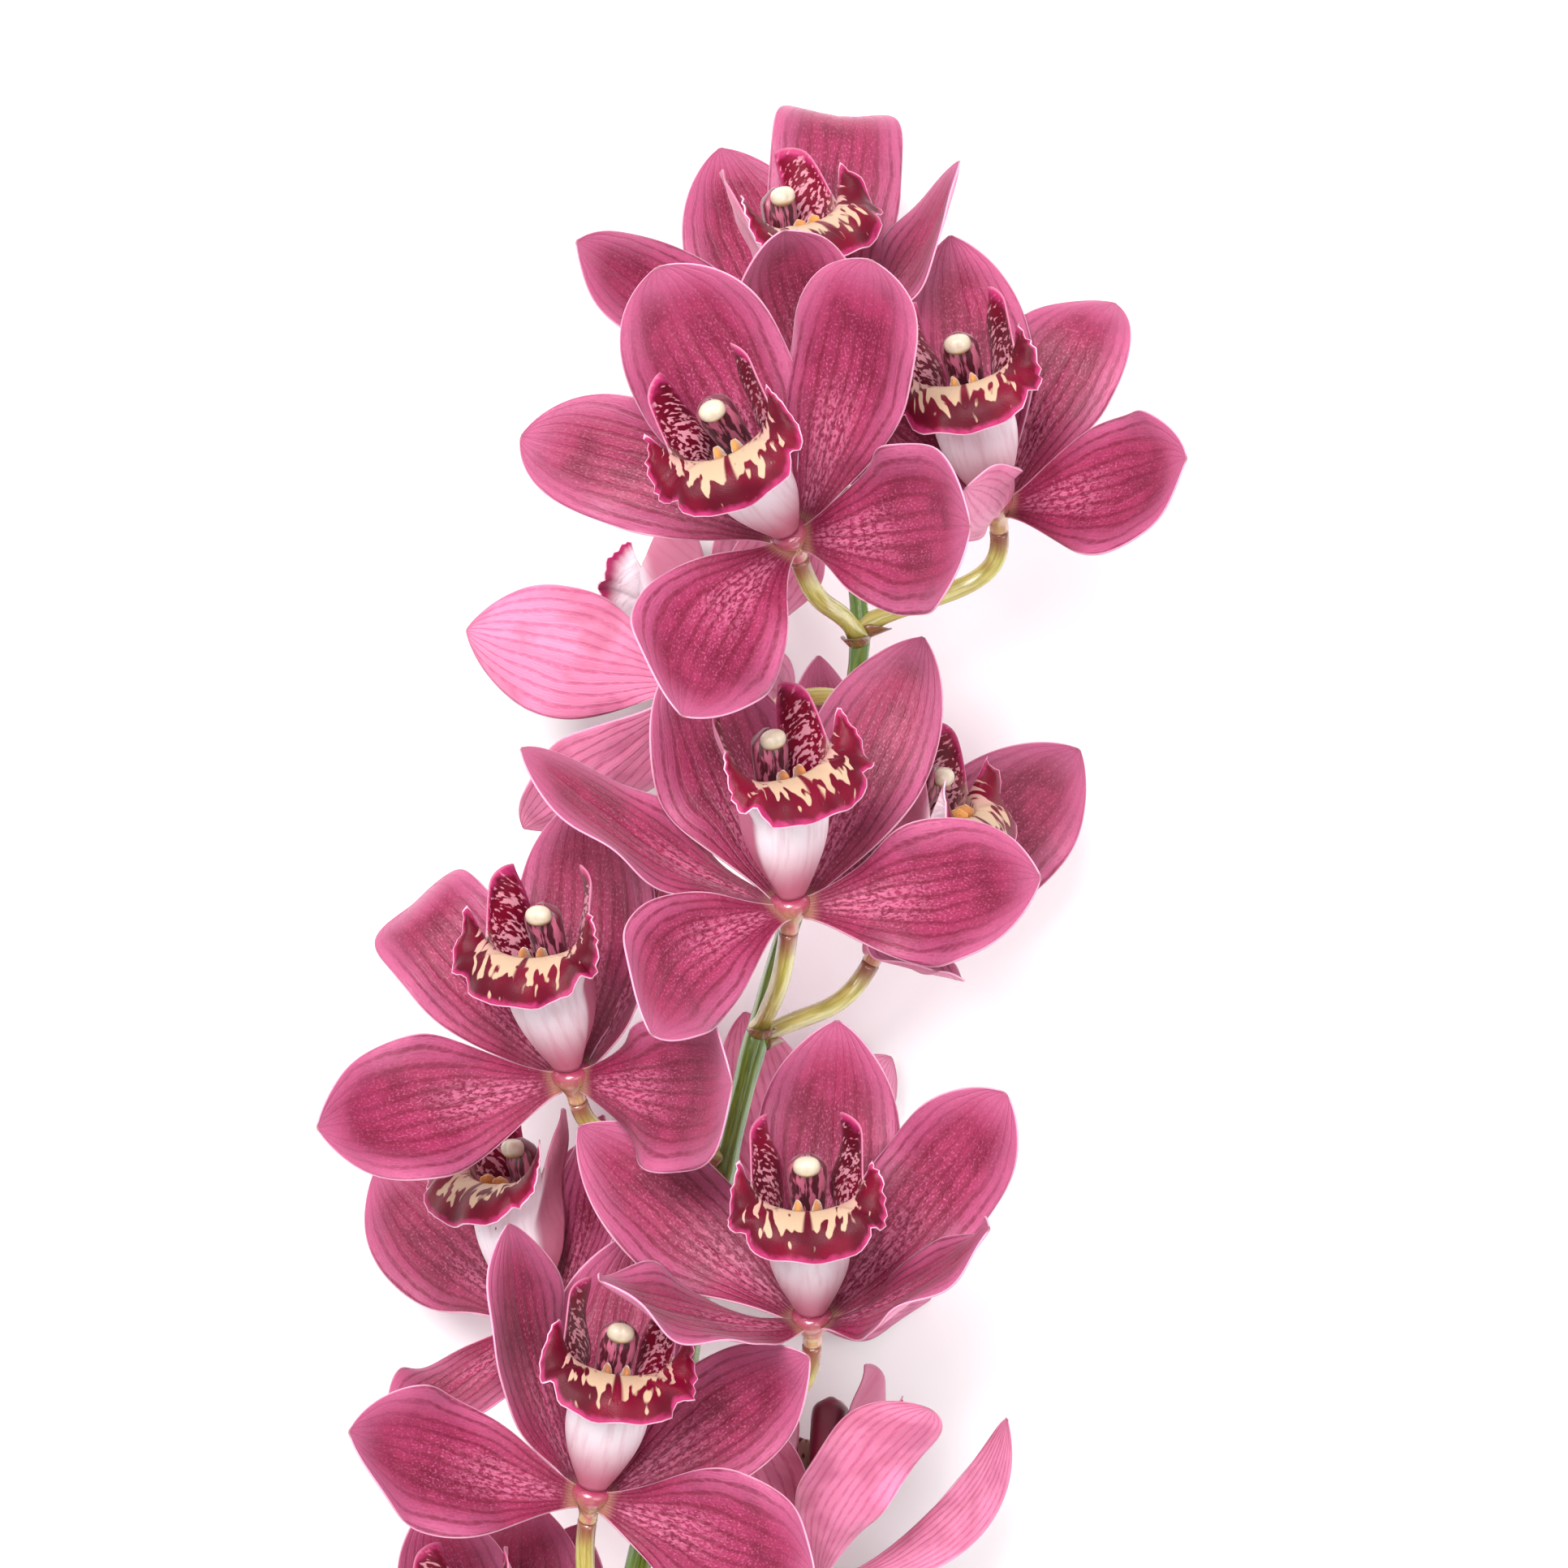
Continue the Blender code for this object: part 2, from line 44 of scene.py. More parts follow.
setting = {"middle": (-13.0, -118.0, -61.3), "millimetre": 0.001}

cameraSetting = {"height": 1731.0, "lens": 200.0, "sensor": 36.0}


def place(points):
    return (np.asarray(points, float) - setting["middle"]) * setting["millimetre"]


# Each vector at length 1. The helpers take whole arrays of vectors.
def unit(v):
    v = np.asarray(v, float)
    return v / np.maximum(np.linalg.norm(v, axis=-1, keepdims=True), 1e-9)


# Each vector turned about its unit axis: v cos + (axis x v) sin + axis (axis . v)(1 - cos).
def turned(v, axis, degrees):
    angle = np.radians(np.asarray(degrees, float))[..., None]
    dot = np.sum(v * axis, axis=-1, keepdims=True)
    return v * np.cos(angle) + np.cross(axis, v) * np.sin(angle) + axis * dot * (1 - np.cos(angle))


# Places on a cubic curve through its two ends, pulled by two handles, with the unit way at each.
def cubic(a, b, c, d, t):
    t = t[:, None]
    spot = a * (1 - t) ** 3 + 3 * b * t * (1 - t) ** 2 + 3 * c * t ** 2 * (1 - t) + d * t ** 3
    way = (b - a) * (1 - t) ** 2 + 2 * (c - b) * t * (1 - t) + (d - c) * t ** 2
    return spot, unit(way)


# A smooth curve through all the points (each span blends its four nearest), evenly spaced along its length.
def smoothLine(points, count):
    points = np.asarray(points, float)
    ends = np.vstack([2 * points[0] - points[1], points, 2 * points[-1] - points[-2]])
    u = np.linspace(0, 1, 24, endpoint=False)[:, None]
    spans = [0.5 * (2 * p1 + (p2 - p0) * u + (2 * p0 - 5 * p1 + 4 * p2 - p3) * u ** 2
                    + (3 * p1 - p0 - 3 * p2 + p3) * u ** 3)
             for p0, p1, p2, p3 in zip(ends[:-3], ends[1:-2], ends[2:-1], ends[3:])]
    line = np.concatenate(spans + [points[-1:]])
    along = np.concatenate([[0], np.cumsum(np.linalg.norm(np.diff(line, axis=0), axis=1))])
    steps = np.linspace(0, along[-1], count)
    return np.stack([np.interp(steps, along, line[:, k]) for k in range(3)], axis=1)


def smoothStep(x, low, high):
    x = np.clip((x - low) / (high - low), 0, 1)
    return x * x * (3 - 2 * x)


# A closed sheet round a grid: each face is the grid moved half its thickness along its normal, and every
# edge that only one cell has gets a strip that joins the two faces. sheet holds (across, along, side) and
# measure holds (millimetres across, millimetres along, millimetres from the margin) for the materials.
def sheetPart(grid, thick, across, along, rim, offset, cells=None, faceUp=1.0):
    rows, columns = grid.shape[:2]
    cells = np.ones((rows - 1, columns - 1), bool) if cells is None else cells
    normal = unit(np.cross(np.gradient(grid, axis=1), np.gradient(grid, axis=0)))
    spots = np.concatenate([(grid + side * normal * thick / 2).reshape(-1, 3) for side in (1, -1)])
    index = np.arange(rows * columns).reshape(rows, columns)
    a, b, c, d = (k[cells] for k in (index[:-1, :-1], index[:-1, 1:], index[1:, 1:], index[1:, :-1]))
    under = rows * columns
    edges = np.concatenate([np.stack(pair, 1) for pair in ((a, b), (b, c), (c, d), (d, a))])
    lone = ~np.isin(edges[:, 1] * under + edges[:, 0], edges[:, 0] * under + edges[:, 1])
    p, q = edges[lone].T
    faces = np.concatenate([np.stack((a, b, c, d), 1), np.stack((a, d, c, b), 1) + under,
                            np.stack((q, p, p + under, q + under), 1)])
    stepAcross, stepAlong = (np.linalg.norm(np.diff(grid, axis=k), axis=2) for k in (1, 0))
    mmAcross = np.concatenate([np.zeros((rows, 1)), np.cumsum(stepAcross, 1)], 1)
    mmAcross -= mmAcross[:, columns // 2][:, None]
    mmAlong = np.concatenate([np.zeros((1, columns)), np.cumsum(stepAlong, 0)])
    sheet = np.stack([np.broadcast_to(k, (rows, columns)).ravel() for k in (across, along)], 1)
    sheet = np.concatenate([np.c_[sheet, np.full(under, faceUp)], np.c_[sheet, np.full(under, 1 - faceUp)]])
    rim = np.broadcast_to(rim, (rows, columns))
    measure = np.stack([(mmAcross + offset).ravel(), mmAlong.ravel(), rim.ravel()], 1)
    measure = np.concatenate([measure, measure])
    used, faces = np.unique(faces, return_inverse=True)
    return spots[used], (faces.reshape(-1, 4),), sheet[used], measure[used]


# A closed tube from a grid of rings, with a fan at each end. sheet holds (turn, along, 0).
def tubePart(grid, offset=0.0):
    rows, columns = grid.shape[:2]
    index = np.arange(rows * columns).reshape(rows, columns)
    nextOne = np.roll(index, -1, axis=1)
    faces = np.stack([index[:-1], nextOne[:-1], nextOne[1:], index[1:]], -1).reshape(-1, 4)
    first, last = rows * columns, rows * columns + 1
    fans = np.concatenate([np.stack([nextOne[0], index[0], index[0] * 0 + first], 1),
                           np.stack([index[-1], nextOne[-1], index[0] * 0 + last], 1)])
    spots = np.concatenate([grid.reshape(-1, 3), grid[0].mean(0)[None], grid[-1].mean(0)[None]])
    turn = np.arange(columns) / columns
    along = np.linspace(0, 1, rows)
    mm = np.concatenate([[0], np.cumsum(np.linalg.norm(np.diff(grid.mean(1), axis=0), axis=1))])
    size = np.linalg.norm(grid - grid.mean(1, keepdims=True), axis=2)
    sheet = np.stack(np.broadcast_arrays(turn[None], along[:, None], 0.0), -1).reshape(-1, 3)
    sheet = np.concatenate([sheet, [[0, 0, 0], [0, 1, 0]]])
    mmAcross = np.sin(turn * 2 * math.pi)[None] * size + offset
    measure = np.stack(np.broadcast_arrays(mmAcross, mm[:, None], 9.0), -1)
    measure = np.concatenate([measure.reshape(-1, 3), [[offset, 0, 9], [offset, mm[-1], 9]]])
    return spots, (faces, fans), sheet, measure


def around(columns):
    return np.arange(columns) * 2 * math.pi / columns


# Rings of a tube: each lies across its line, wide along side and deep along the third way.
def rings(line, side, wide, deep, shape=None, columns=24):
    way = unit(np.gradient(line, axis=0))
    side = unit(side - way * np.sum(side * way, axis=-1, keepdims=True))
    other = np.cross(way, side)
    turn = around(columns)
    shape = 1.0 if shape is None else shape
    x = np.asarray(wide)[:, None] * np.cos(turn) * shape
    y = np.asarray(deep)[:, None] * np.sin(turn) * shape
    return line[:, None] + x[..., None] * side[:, None] + y[..., None] * other[:, None]


def addObject(name, data):
    made = bpy.data.objects.new(name, data)
    bpy.context.scene.collection.objects.link(made)
    return made


# One object from several parts: its mesh holds its place, and its two attributes feed the materials.
def makePiece(name, node, parts, materials):
    spots, sheets, measures, polygons, finishes = [], [], [], [], []
    count = 0
    for (partSpots, groups, sheet, measure), finish in parts:
        for group in groups:
            polygons += (group + count).tolist()
            finishes += [finish] * len(group)
        spots.append(partSpots)
        sheets.append(sheet)
        measures.append(measure)
        count += len(partSpots)
    mesh = bpy.data.meshes.new(name)
    mesh.from_pydata(place(np.concatenate(spots)).tolist(), [], polygons)
    for key, values in (("sheet", sheets), ("measure", measures)):
        attribute = mesh.attributes.new(key, "FLOAT_VECTOR", "POINT")
        attribute.data.foreach_set("vector", np.concatenate(values).astype(np.float32).ravel())
    for material in materials:
        mesh.materials.append(material)
    mesh.polygons.foreach_set("material_index", finishes)
    mesh.polygons.foreach_set("use_smooth", [True] * len(polygons))
    mesh.update()
    piece = addObject(name, mesh)
    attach(piece, "root")
    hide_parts(node)
    return piece


# Materials: sRGB colours, small helpers for nodes, three shared node groups, and one maker for each surface.
def hue(red, green, blue):
    return tuple((k / 255 / 12.92 if k <= 10 else ((k / 255 + 0.055) / 1.055) ** 2.4)
                 for k in (red, green, blue)) + (1.0,)


# A node with its settings and inputs: an input is a value, or another node's output to link.
def add(tree, kind, inputs=None, **settings):
    made = tree.nodes.new(kind)
    for key, value in settings.items():
        setattr(made, key, value)
    for key, value in (inputs or {}).items():
        if isinstance(value, bpy.types.NodeSocket):
            tree.links.new(value, made.inputs[key])
        else:
            made.inputs[key].default_value = value
    return made


def calc(tree, operation, a, b=0.0, c=0.0):
    return add(tree, "ShaderNodeMath", {0: a, 1: b, 2: c}, operation=operation).outputs[0]


def product(tree, first, *others):
    for other in others:
        first = calc(tree, "MULTIPLY", first, other)
    return first


# 0 below low, 1 above high, and a smooth step between.
def step(tree, value, low, high):
    return add(tree, "ShaderNodeMapRange", {"Value": value, "From Min": low, "From Max": high},
               interpolation_type="SMOOTHSTEP").outputs[0]


# 1 below low, 0 above high.
def fall(tree, value, low, high):
    return calc(tree, "SUBTRACT", 1.0, step(tree, value, low, high))


def blend(tree, factor, a, b):
    return add(tree, "ShaderNodeMix", {0: factor, 6: a, 7: b}, data_type="RGBA").outputs[2]


# One colour over another, as far as the product of the masks says.
def layer(tree, under, over, *masks):
    return blend(tree, product(tree, *masks), under, over)


def noise(tree, vector, scale, detail=2.0, rough=0.5):
    return add(tree, "ShaderNodeTexNoise", {"Vector": vector, "Scale": scale, "Detail": detail,
                                            "Roughness": rough}).outputs[0]


def stretched(tree, vector, scale):
    return add(tree, "ShaderNodeMapping", {"Vector": vector, "Scale": scale}).outputs[0]


def split(tree, vector):
    return add(tree, "ShaderNodeSeparateXYZ", {0: vector}).outputs


def newGroup(name, inputs, outputs):
    tree = bpy.data.node_groups.new(name, "ShaderNodeTree")
    for key, kind, value in inputs:
        socket = tree.interface.new_socket(key, in_out="INPUT", socket_type=kind)
        if value is not None:
            socket.default_value = value
    for key in outputs:
        tree.interface.new_socket(key, in_out="OUTPUT", socket_type="NodeSocketFloat")
    return tree, tree.nodes.new("NodeGroupInput").outputs, tree.nodes.new("NodeGroupOutput").inputs


# Lengthwise veins: bands across the sheet that wander a little, main ones dark and finer ones between them,
# broken into dashes where Broken is high. Main is a smooth step of cos(2 pi (across count + wander)).
def makeVeins():
    floatKind, vectorKind = "NodeSocketFloat", "NodeSocketVector"
    tree, into, out = newGroup("petal veins", [
        ("Across", floatKind, 0.0), ("Measure", vectorKind, None), ("Count", floatKind, 5.5),
        ("Thin", floatKind, 0.8), ("Broken", floatKind, 0.2)], ["Main", "Fine"])
    stretch = stretched(tree, into["Measure"], (1.0, 0.35, 0.0))
    wander = calc(tree, "SUBTRACT", noise(tree, stretch, 0.12, 2.0), 0.5)
    phase = calc(tree, "ADD", product(tree, into["Across"], into["Count"]), product(tree, wander, 1.6))
    main = step(tree, calc(tree, "COSINE", product(tree, phase, 2 * math.pi)), into["Thin"], 1.0)
    dash = step(tree, noise(tree, stretch, 1.5, 2.0), 0.42, 0.62)
    keep = calc(tree, "SUBTRACT", 1.0, product(tree, into["Broken"], dash))
    tree.links.new(product(tree, main, keep), out["Main"])
    fine = calc(tree, "COSINE", product(tree, phase, 6 * math.pi))
    tree.links.new(product(tree, step(tree, fine, 0.3, 1.0), dash), out["Fine"])
    return tree


# Specks: small blotches, and finer dots between them, each about Size millimetres.
def makeSpecks():
    tree, into, out = newGroup("specks", [("Measure", "NodeSocketVector", None), ("Size", "NodeSocketFloat", 0.6)],
                               ["Blotch", "Dot"])
    flat = stretched(tree, into["Measure"], (1.0, 0.6, 0.0))
    scale = calc(tree, "DIVIDE", 1.0, into["Size"])
    tree.links.new(step(tree, noise(tree, flat, scale, 3.0, 0.6), 0.5, 0.72), out["Blotch"])
    cells = add(tree, "ShaderNodeTexVoronoi", {"Vector": flat, "Scale": scale}).outputs["Distance"]
    tree.links.new(fall(tree, cells, 0.12, 0.4), out["Dot"])
    return tree


# Plant skin: a height of tiny rounded cells over soft dents, from Object coordinates in metres.
def makeSkin():
    tree, into, out = newGroup("plant skin", [
        ("Vector", "NodeSocketVector", None), ("Cell", "NodeSocketFloat", 4500.0)], ["Height", "Patch"])
    cells = add(tree, "ShaderNodeTexVoronoi", {
        "Vector": into["Vector"], "Scale": into["Cell"]}).outputs["Distance"]
    dents = noise(tree, into["Vector"], 260.0, 3.0)
    tree.links.new(calc(tree, "ADD", product(tree, cells, -0.35), dents), out["Height"])
    tree.links.new(noise(tree, into["Vector"], 90.0, 3.0), out["Patch"])
    return tree


groups = {"veins": makeVeins(), "specks": makeSpecks(), "skin": makeSkin()}


def grouped(tree, key, inputs):
    return add(tree, "ShaderNodeGroup", inputs, node_tree=groups[key]).outputs


# A new material with what every maker reads: the sheet and measure attributes and Object coordinates.
def startMaterial(name):
    made = bpy.data.materials.new(name)
    made.use_nodes = True
    tree = made.node_tree
    shader = tree.nodes["Principled BSDF"]
    sheet = add(tree, "ShaderNodeAttribute", attribute_name="sheet").outputs["Vector"]
    measure = add(tree, "ShaderNodeAttribute", attribute_name="measure").outputs["Vector"]
    spot = add(tree, "ShaderNodeTexCoord").outputs["Object"]
    return made, tree, shader, sheet, measure, spot


# The surface's own height becomes its normal, and its roughness wanders round a middle value.
def dress(tree, shader, colour, height, patch, distance, roughness, constants):
    tree.links.new(colour, shader.inputs["Base Color"])
    bump = add(tree, "ShaderNodeBump", {"Height": height, "Distance": distance, "Strength": 0.6}).outputs[0]
    tree.links.new(bump, shader.inputs["Normal"])
    wanders = calc(tree, "MULTIPLY_ADD", patch, 0.16, roughness - 0.08)
    tree.links.new(wanders, shader.inputs["Roughness"])
    for key, value in constants.items():
        shader.inputs[key].default_value = value


# deep is the petal's deeper crimson, also used as painted shade at the root and in soft patches.
# speck is the pale stipple colour, partly painted sheen off the petal's tiny cells.
petalLook = {
    "front": hue(138, 36, 74), "deep": hue(110, 18, 52), "pale": hue(178, 90, 128), "vein": hue(96, 6, 36),
    "root": hue(180, 138, 108), "speckAndSheen": hue(196, 108, 140), "back": hue(208, 122, 156),
    "backVein": hue(176, 70, 114), "rim": hue(232, 176, 200), "tip": hue(100, 46, 30),
    "veinCount": 5.0, "veinThin": 0.05, "veinBroken": 0.55, "speckSize": 0.4, "mainVein": 0.7, "fineVein": 0.25,
    "rough": 0.46, "bump": 0.00022}


# Petals: the front is crimson, deeper at the root and in soft patches, partly its own deeper colour and partly
# painted shade, and paler towards the margin. The back is pale with its veins showing through.
def makePetalMaterial():
    made, tree, shader, sheet, measure, spot = startMaterial("petal")
    look = petalLook
    across, along, side = split(tree, sheet)
    rim = split(tree, measure)[2]
    apart = calc(tree, "ABSOLUTE", across)
    veins = grouped(tree, "veins", {"Across": across, "Measure": measure, "Count": look["veinCount"],
                                    "Thin": look["veinThin"], "Broken": look["veinBroken"]})
    specks = grouped(tree, "specks", {"Measure": measure, "Size": look["speckSize"]})
    skin = grouped(tree, "skin", {"Vector": spot})
    patchNoise = noise(tree, measure, 0.11, 2.0)
    # Darker at the root and in soft patches: partly the petal's own deeper colour, partly painted shade in its
    # troughs and round its base.
    deeperAndShaded = calc(tree, "MAXIMUM", step(tree, patchNoise, 0.35, 0.7), fall(tree, along, 0.0, 0.3))
    front = blend(tree, deeperAndShaded, look["front"], look["deep"])
    towardsRim = product(tree, fall(tree, rim, 0.0, 8.0), step(tree, along, 0.18, 0.5), 0.7)
    front = blend(tree, towardsRim, front, look["pale"])
    # Pale stipple between the veins, denser along the middle, partly the petal's own pale flecks and partly painted
    # sheen off its tiny cells, and pale dashes near the root.
    middle = product(tree, step(tree, along, 0.02, 0.2), fall(tree, along, 0.5, 0.95),
                     fall(tree, apart, 0.2, 0.75))
    stippleAndSheen = product(tree, specks["Blotch"], calc(tree, "MULTIPLY_ADD", middle, 0.5, 0.25))
    front = blend(tree, stippleAndSheen, front, look["speckAndSheen"])
    dashes = step(tree, noise(tree, stretched(tree, measure, (1.0, 0.4, 0.0)), 1.7, 1.5), 0.44, 0.56)
    nearRoot = product(tree, step(tree, along, 0.04, 0.12), fall(tree, along, 0.3, 0.62))
    hatch = product(tree, dashes, nearRoot, fall(tree, apart, 0.15, 0.5), 0.6)
    front = blend(tree, hatch, front, look["speckAndSheen"])
    fades = fall(tree, along, 0.55, 0.98)
    front = layer(tree, front, look["vein"], veins["Main"], fades, look["mainVein"])
    front = layer(tree, front, look["vein"], veins["Fine"], fades, look["fineVein"])
    front = layer(tree, front, look["root"], fall(tree, along, 0.01, 0.07), 0.5)
    back = layer(tree, look["back"], look["backVein"], veins["Main"], 0.55)
    back = layer(tree, back, look["front"], step(tree, patchNoise, 0.4, 0.7), 0.4)
    colour = blend(tree, side, back, front)
    colour = layer(tree, colour, look["rim"], fall(tree, rim, 0.0, 0.32), 0.6)
    colour = layer(tree, colour, look["tip"], step(tree, along, 0.99, 0.999), 0.5)
    height = calc(tree, "ADD", product(tree, veins["Main"], -0.9), product(tree, skin["Height"], 0.5))
    height = calc(tree, "ADD", height, product(tree, veins["Fine"], -0.35))
    dress(tree, shader, colour, height, skin["Patch"], look["bump"], look["rough"],
          {"Subsurface Weight": 0.16, "Subsurface Radius": (1.0, 0.35, 0.45), "Subsurface Scale": 0.0012,
           "Sheen Weight": 0.1, "Sheen Roughness": 0.4, "Sheen Tint": (1.0, 0.85, 0.92, 1.0),
           "Specular IOR Level": 0.28})
    return made


lipLook = {
    "burgundy": hue(104, 2, 32), "darkest": hue(78, 1, 23), "border": hue(170, 44, 98), "rim": hue(232, 190, 208),
    "cream": hue(178, 150, 124), "blush": hue(188, 124, 138), "outside": hue(224, 214, 220),
    "outsideFlushAndShade": hue(170, 68, 98), "keel": hue(188, 124, 46), "keelDeep": hue(150, 84, 30),
    "creamEnd": 1.54, "ragged": 1.5, "streakTurn": 24, "streakLong": 3.4, "rough": 0.42, "bump": 0.0002}


# The lip: along runs 0 to 1 down the tube and 1 to 2 over the front lobe. The tube's side lobes are
# beyond 0.5 across.
def makeLipMaterial():
    made, tree, shader, sheet, measure, spot = startMaterial("lip")
    look = lipLook
    across, along, side = split(tree, sheet)
    rim = split(tree, measure)[2]
    skin = grouped(tree, "skin", {"Vector": spot, "Cell": 3800.0})
    specks = grouped(tree, "specks", {"Measure": measure, "Size": 1.5})
    apart = calc(tree, "ABSOLUTE", across)
    inLobe = step(tree, apart, 0.44, 0.62)
    # Front lobe: cream in the middle, and burgundy fingers that reach in from a broad band round the margin.
    fingers = noise(tree, stretched(tree, measure, (1.0, 0.5, 0.0)), 0.62, 0.6)
    ragged = product(tree, calc(tree, "SUBTRACT", fingers, 0.5), look["ragged"])
    beyond = calc(tree, "ADD", calc(tree, "SUBTRACT", along, look["creamEnd"]), ragged)
    beyond = calc(tree, "ADD", beyond, product(tree, step(tree, apart, 0.08, 0.46), 0.3))
    band = step(tree, beyond, -0.05, 0.05)
    line = product(tree, fall(tree, apart, 0.012, 0.028), step(tree, along, 0.9, 1.0))
    burgundy = blend(tree, step(tree, skin["Patch"], 0.4, 0.65), look["burgundy"], look["darkest"])
    cream = layer(tree, look["cream"], look["blush"], step(tree, apart, 0.1, 0.4), 0.45)
    spotted = product(tree, specks["Dot"], fall(tree, along, 1.1, 1.3), step(tree, apart, 0.1, 0.2))
    front = blend(tree, spotted, cream, burgundy)
    front = blend(tree, calc(tree, "MAXIMUM", band, line), front, burgundy)
    # Side lobes: pale streaks that fan out along the lobe, and fewer of them near its edge.
    fans = [add(tree, "ShaderNodeMapping", {
        "Vector": measure, "Rotation": (0, 0, math.radians(hand * look["streakTurn"])),
        "Scale": (1.0, look["streakLong"], 1.0)}, vector_type="TEXTURE").outputs[0] for hand in (-1, 1)]
    fan = blend(tree, step(tree, across, -0.1, 0.1), fans[0], fans[1])
    spots = calc(tree, "MULTIPLY_ADD", fall(tree, rim, 0.5, 4.5), 0.1, noise(tree, fan, 1.05, 1.5))
    lobe = blend(tree, step(tree, spots, 0.43, 0.52), look["blush"], burgundy)
    colour = blend(tree, inLobe, front, lobe)
    uneven = calc(tree, "MULTIPLY_ADD", noise(tree, measure, 0.5, 2.0), -1.8, calc(tree, "ADD", rim, 0.9))
    colour = layer(tree, colour, look["border"], fall(tree, uneven, 0.2, 1.5), 0.85)
    # Outside: near white and faintly streaked, flushed towards the lobes, and flushed at the base, partly its own
    # blush and partly painted shadow and reflected crimson.
    grain = noise(tree, stretched(tree, measure, (1.0, 0.12, 0.0)), 0.7, 3.0)
    outside = layer(tree, look["outside"], look["outsideFlushAndShade"], step(tree, grain, 0.45, 0.7), 0.22)
    lobeSide = calc(tree, "MAXIMUM", step(tree, along, 1.35, 1.9), product(tree, inLobe, 0.8))
    outside = blend(tree, lobeSide, outside, look["border"])
    # Pink at the tube's base: partly the lip's own blush, partly painted shadow and painted reflection of the
    # crimson petals.
    outside = layer(tree, outside, look["outsideFlushAndShade"], fall(tree, along, 0.05, 0.62), 0.9)
    colour = blend(tree, side, outside, colour)
    paleRim = product(tree, fall(tree, rim, 0.02, 0.3), calc(tree, "MULTIPLY_ADD", inLobe, -0.7, 0.85))
    colour = blend(tree, paleRim, colour, look["rim"])
    height = calc(tree, "ADD", product(tree, skin["Height"], 0.8), product(tree, band, 0.5))
    dress(tree, shader, colour, height, skin["Patch"], look["bump"], look["rough"],
          {"Subsurface Weight": 0.08, "Subsurface Radius": (1.0, 0.4, 0.5), "Subsurface Scale": 0.0006,
           "Sheen Weight": 0.03, "Sheen Roughness": 0.45, "Specular IOR Level": 0.14})
    return made


def makeKeelMaterial():
    made, tree, shader, _, _, spot = startMaterial("lip keels")
    skin = grouped(tree, "skin", {"Vector": spot, "Cell": 2600.0})
    colour = blend(tree, step(tree, skin["Patch"], 0.4, 0.62), lipLook["keel"], lipLook["keelDeep"])
    dress(tree, shader, colour, skin["Height"], skin["Patch"], 0.0004, 0.62,
          {"Subsurface Weight": 0.1, "Subsurface Scale": 0.001, "Sheen Weight": 0.6, "Sheen Roughness": 0.5})
    return made


columnLook = {"outside": hue(136, 22, 62), "top": hue(98, 8, 40), "under": hue(176, 88, 114),
              "streak": hue(70, 3, 24), "streakCount": 22.0, "rough": 0.38, "bump": 0.0002}


# The column: pale and streaked on the side that faces the lip, and burgundy outside.
def makeColumnMaterial():
    made, tree, shader, sheet, measure, spot = startMaterial("column")
    look = columnLook
    turn, along, _ = split(tree, sheet)
    skin = grouped(tree, "skin", {"Vector": spot, "Cell": 4200.0})
    facing = calc(tree, "SINE", product(tree, turn, 2 * math.pi))
    under = step(tree, facing, 0.15, 0.7)
    lengthwise = product(tree, split(tree, measure)[1], 0.22)
    crosswise = product(tree, turn, look["streakCount"])
    streaks = add(tree, "ShaderNodeCombineXYZ", {0: crosswise, 1: lengthwise}).outputs[0]
    streak = step(tree, noise(tree, streaks, 1.0, 2.0), 0.44, 0.54)
    pale = blend(tree, streak, look["under"], look["streak"])
    outside = blend(tree, step(tree, along, 0.5, 0.95), look["outside"], look["top"])
    colour = blend(tree, under, outside, pale)
    dress(tree, shader, colour, skin["Height"], skin["Patch"], look["bump"], look["rough"],
          {"Subsurface Weight": 0.12, "Subsurface Scale": 0.001, "Sheen Weight": 0.15, "Coat Weight": 0.1,
           "Coat Roughness": 0.3})
    return made


capLook = {"cream": hue(194, 180, 160), "yellow": hue(176, 136, 84), "rough": 0.36, "bump": 0.00015}


# The cap: cream, and yellower at the end nearer the stem.
def makeCapMaterial():
    made, tree, shader, sheet, _, spot = startMaterial("anther cap")
    along = split(tree, sheet)[1]
    skin = grouped(tree, "skin", {"Vector": spot, "Cell": 3000.0})
    colour = layer(tree, capLook["cream"], capLook["yellow"], fall(tree, along, 0.12, 0.42), 0.85)
    dress(tree, shader, colour, skin["Height"], skin["Patch"], capLook["bump"], capLook["rough"],
          {"Subsurface Weight": 0.3, "Subsurface Radius": (1.0, 0.7, 0.4), "Subsurface Scale": 0.0015,
           "Coat Weight": 0.2, "Coat Roughness": 0.25})
    return made


# Each part of the stem: its colour, a deeper one in its fibres, the one of its end and patches, and the share
# of its length where the end begins.
stemLook = {
    "green stalk": (hue(98, 130, 26), hue(64, 98, 18), hue(64, 98, 18), 0.7),
    "flower stalks": (hue(190, 180, 98), hue(152, 146, 62), hue(128, 72, 54), 0.82),
    "bloom base": (hue(180, 150, 96), hue(176, 96, 104), hue(150, 50, 82), 0.45),
    "dry bract": (hue(150, 112, 66), hue(110, 76, 44), hue(90, 60, 40), 0.6)}


